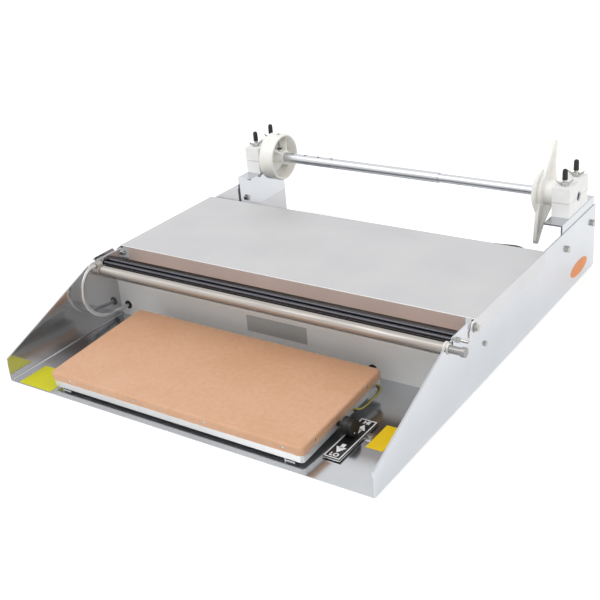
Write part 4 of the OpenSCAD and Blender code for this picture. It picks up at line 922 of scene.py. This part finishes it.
def armoured_cable():
    curve = bpy.data.curves.new("cable_line", "CURVE")
    curve.dimensions = "3D"
    spline = curve.splines.new("BEZIER")
    spline.bezier_points.add(len(cable_points) - 1)
    for point, (y, z) in zip(spline.bezier_points, cable_points):
        point.co = place(cable_x, y, z)
        point.handle_left_type = point.handle_right_type = "AUTO"
    curve.resolution_u = 24
    line = bpy.data.objects.new("cable_line", curve)
    scene.collection.objects.link(line)
    bpy.context.view_layer.update()
    count = int(spline.calc_length() / mm / rib_step)
    r = cable_radius
    shape = [(0, r - 0.38), (0.2, r - 0.1), (0.65, r), (1.1, r - 0.1), (rib_step, r - 0.38)]
    cable = turned("armoured_conduit", (0, 0, 0), "X", shape, 16, ends="open")
    modify(cable, "ARRAY", count=count, use_relative_offset=False, use_constant_offset=True,
           constant_offset_displace=(rib_step * mm, 0, 0), use_merge_vertices=True, merge_threshold=0.0001)
    only(cable)
    bend = cable.modifiers.new("bend", "CURVE")
    bend.object = line
    bend.deform_axis = "POS_X"
    bpy.ops.object.modifier_apply(modifier=bend.name)
    bpy.data.objects.remove(line)
    choose(cable, "VERT", lambda co, normal: False)
    bpy.ops.mesh.select_non_manifold()
    bpy.ops.mesh.edge_face_add()
    bpy.ops.mesh.select_all(action="SELECT")
    bpy.ops.mesh.normals_make_consistent(inside=False)
    close_edit()
    done(cable, "frame", armour_steel, ["armoured_cable"], 30)


armoured_cable()


# Leads at the plate's right end and behind it, as smooth round wires
def wire(name, points, radius, material):
    curve = bpy.data.curves.new(name, "CURVE")
    curve.dimensions = "3D"
    spline = curve.splines.new("BEZIER")
    spline.bezier_points.add(len(points) - 1)
    for point, at in zip(spline.bezier_points, points):
        point.co = Vector(at) * mm
        point.handle_left_type = point.handle_right_type = "AUTO"
    curve.resolution_u = 8
    curve.bevel_depth = radius * mm
    curve.bevel_resolution = 3
    curve.use_fill_caps = True
    made = bpy.data.objects.new(name, curve)
    scene.collection.objects.link(made)
    only(made)
    bpy.ops.object.convert(target="MESH")
    bpy.context.object.data.materials.append(material)
    return bpy.context.object


def plate_wires():
    side, front_y, back_y, low_z = plate_right, 109.86, 164.8, -18.5
    pieces = []
    for lift, bulge, material in ((0, 6, black_lead), (2.4, 9, yellow_lead)):
        x, z = side + bulge, low_z + lift
        line = [
            (side - 0.8, front_y, z), (x - 3, front_y + 2, z), (x, front_y + 10, z - 0.5),
            (x, (front_y + back_y) / 2, z - 1), (x, back_y - 10, z - 0.5), (x - 3, back_y - 2, z),
            (side - 0.8, back_y, z),
        ]
        pieces.append(on_plate(wire("plate_wire", line, 1.1, material)))
    pair = joined("plate_wires", pieces)
    only(pair)
    bpy.ops.object.shade_smooth_by_angle(angle=math.radians(50))
    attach(pair, "frame")
    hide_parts("thermostat_leads")


plate_wires()


# Floor and light
def either(tree, first, second):
    """The larger of two values."""
    return add(tree, "ShaderNodeMath", {0: first, 1: second}, operation="MAXIMUM").outputs[0]


def studio():
    floor = start("studio_floor", bpy.ops.mesh.primitive_plane_add, size=8)
    material = bpy.data.materials.new("pale_paper")
    material.use_nodes = True
    tree = material.node_tree
    tree.nodes.clear()
    rays = add(tree, "ShaderNodeLightPath", {}).outputs
    seen = either(tree, rays["Is Camera Ray"], rays["Is Glossy Ray"])
    seen = either(tree, seen, rays["Is Transmission Ray"])
    lift = add(tree, "ShaderNodeMath", {0: seen, 1: 0.35}, operation="MULTIPLY").outputs[0]
    paper = add(tree, "ShaderNodeBsdfDiffuse", {"Color": linear("#F4F4F4")}).outputs[0]
    glow = add(tree, "ShaderNodeEmission", {"Strength": lift}).outputs[0]
    total = add(tree, "ShaderNodeAddShader", {0: paper, 1: glow}).outputs[0]
    add(tree, "ShaderNodeOutputMaterial", {"Surface": total})
    floor.data.materials.append(material)
    world = bpy.data.worlds.new("studio")
    scene.world = world
    world.use_nodes = True
    tree = world.node_tree
    tree.nodes.clear()
    rays = add(tree, "ShaderNodeLightPath", {}).outputs
    seen = either(tree, rays["Is Camera Ray"], rays["Is Glossy Ray"])
    seen = either(tree, seen, rays["Is Transmission Ray"])
    level = between(tree, seen, 0.8, 1.0, 0, 1)
    sky = add(tree, "ShaderNodeBackground", {"Color": (1, 1, 1, 1), "Strength": level}).outputs[0]
    add(tree, "ShaderNodeOutputWorld", {"Surface": sky})


def lamp(name, at, size, power):
    bpy.ops.object.light_add(type="AREA", location=at)
    made = bpy.context.object
    made.name = name
    made.rotation_euler = (Vector((0, 0, 0.05)) - Vector(at)).to_track_quat("-Z", "Y").to_euler()
    made.data.shape = "SQUARE"
    made.data.size = size
    made.data.energy = power


studio()
lamp("key", (-1.2, -1.6, 2.6), 1.6, 26)
lamp("fill", (1.8, -0.4, 2.0), 1.6, 7)
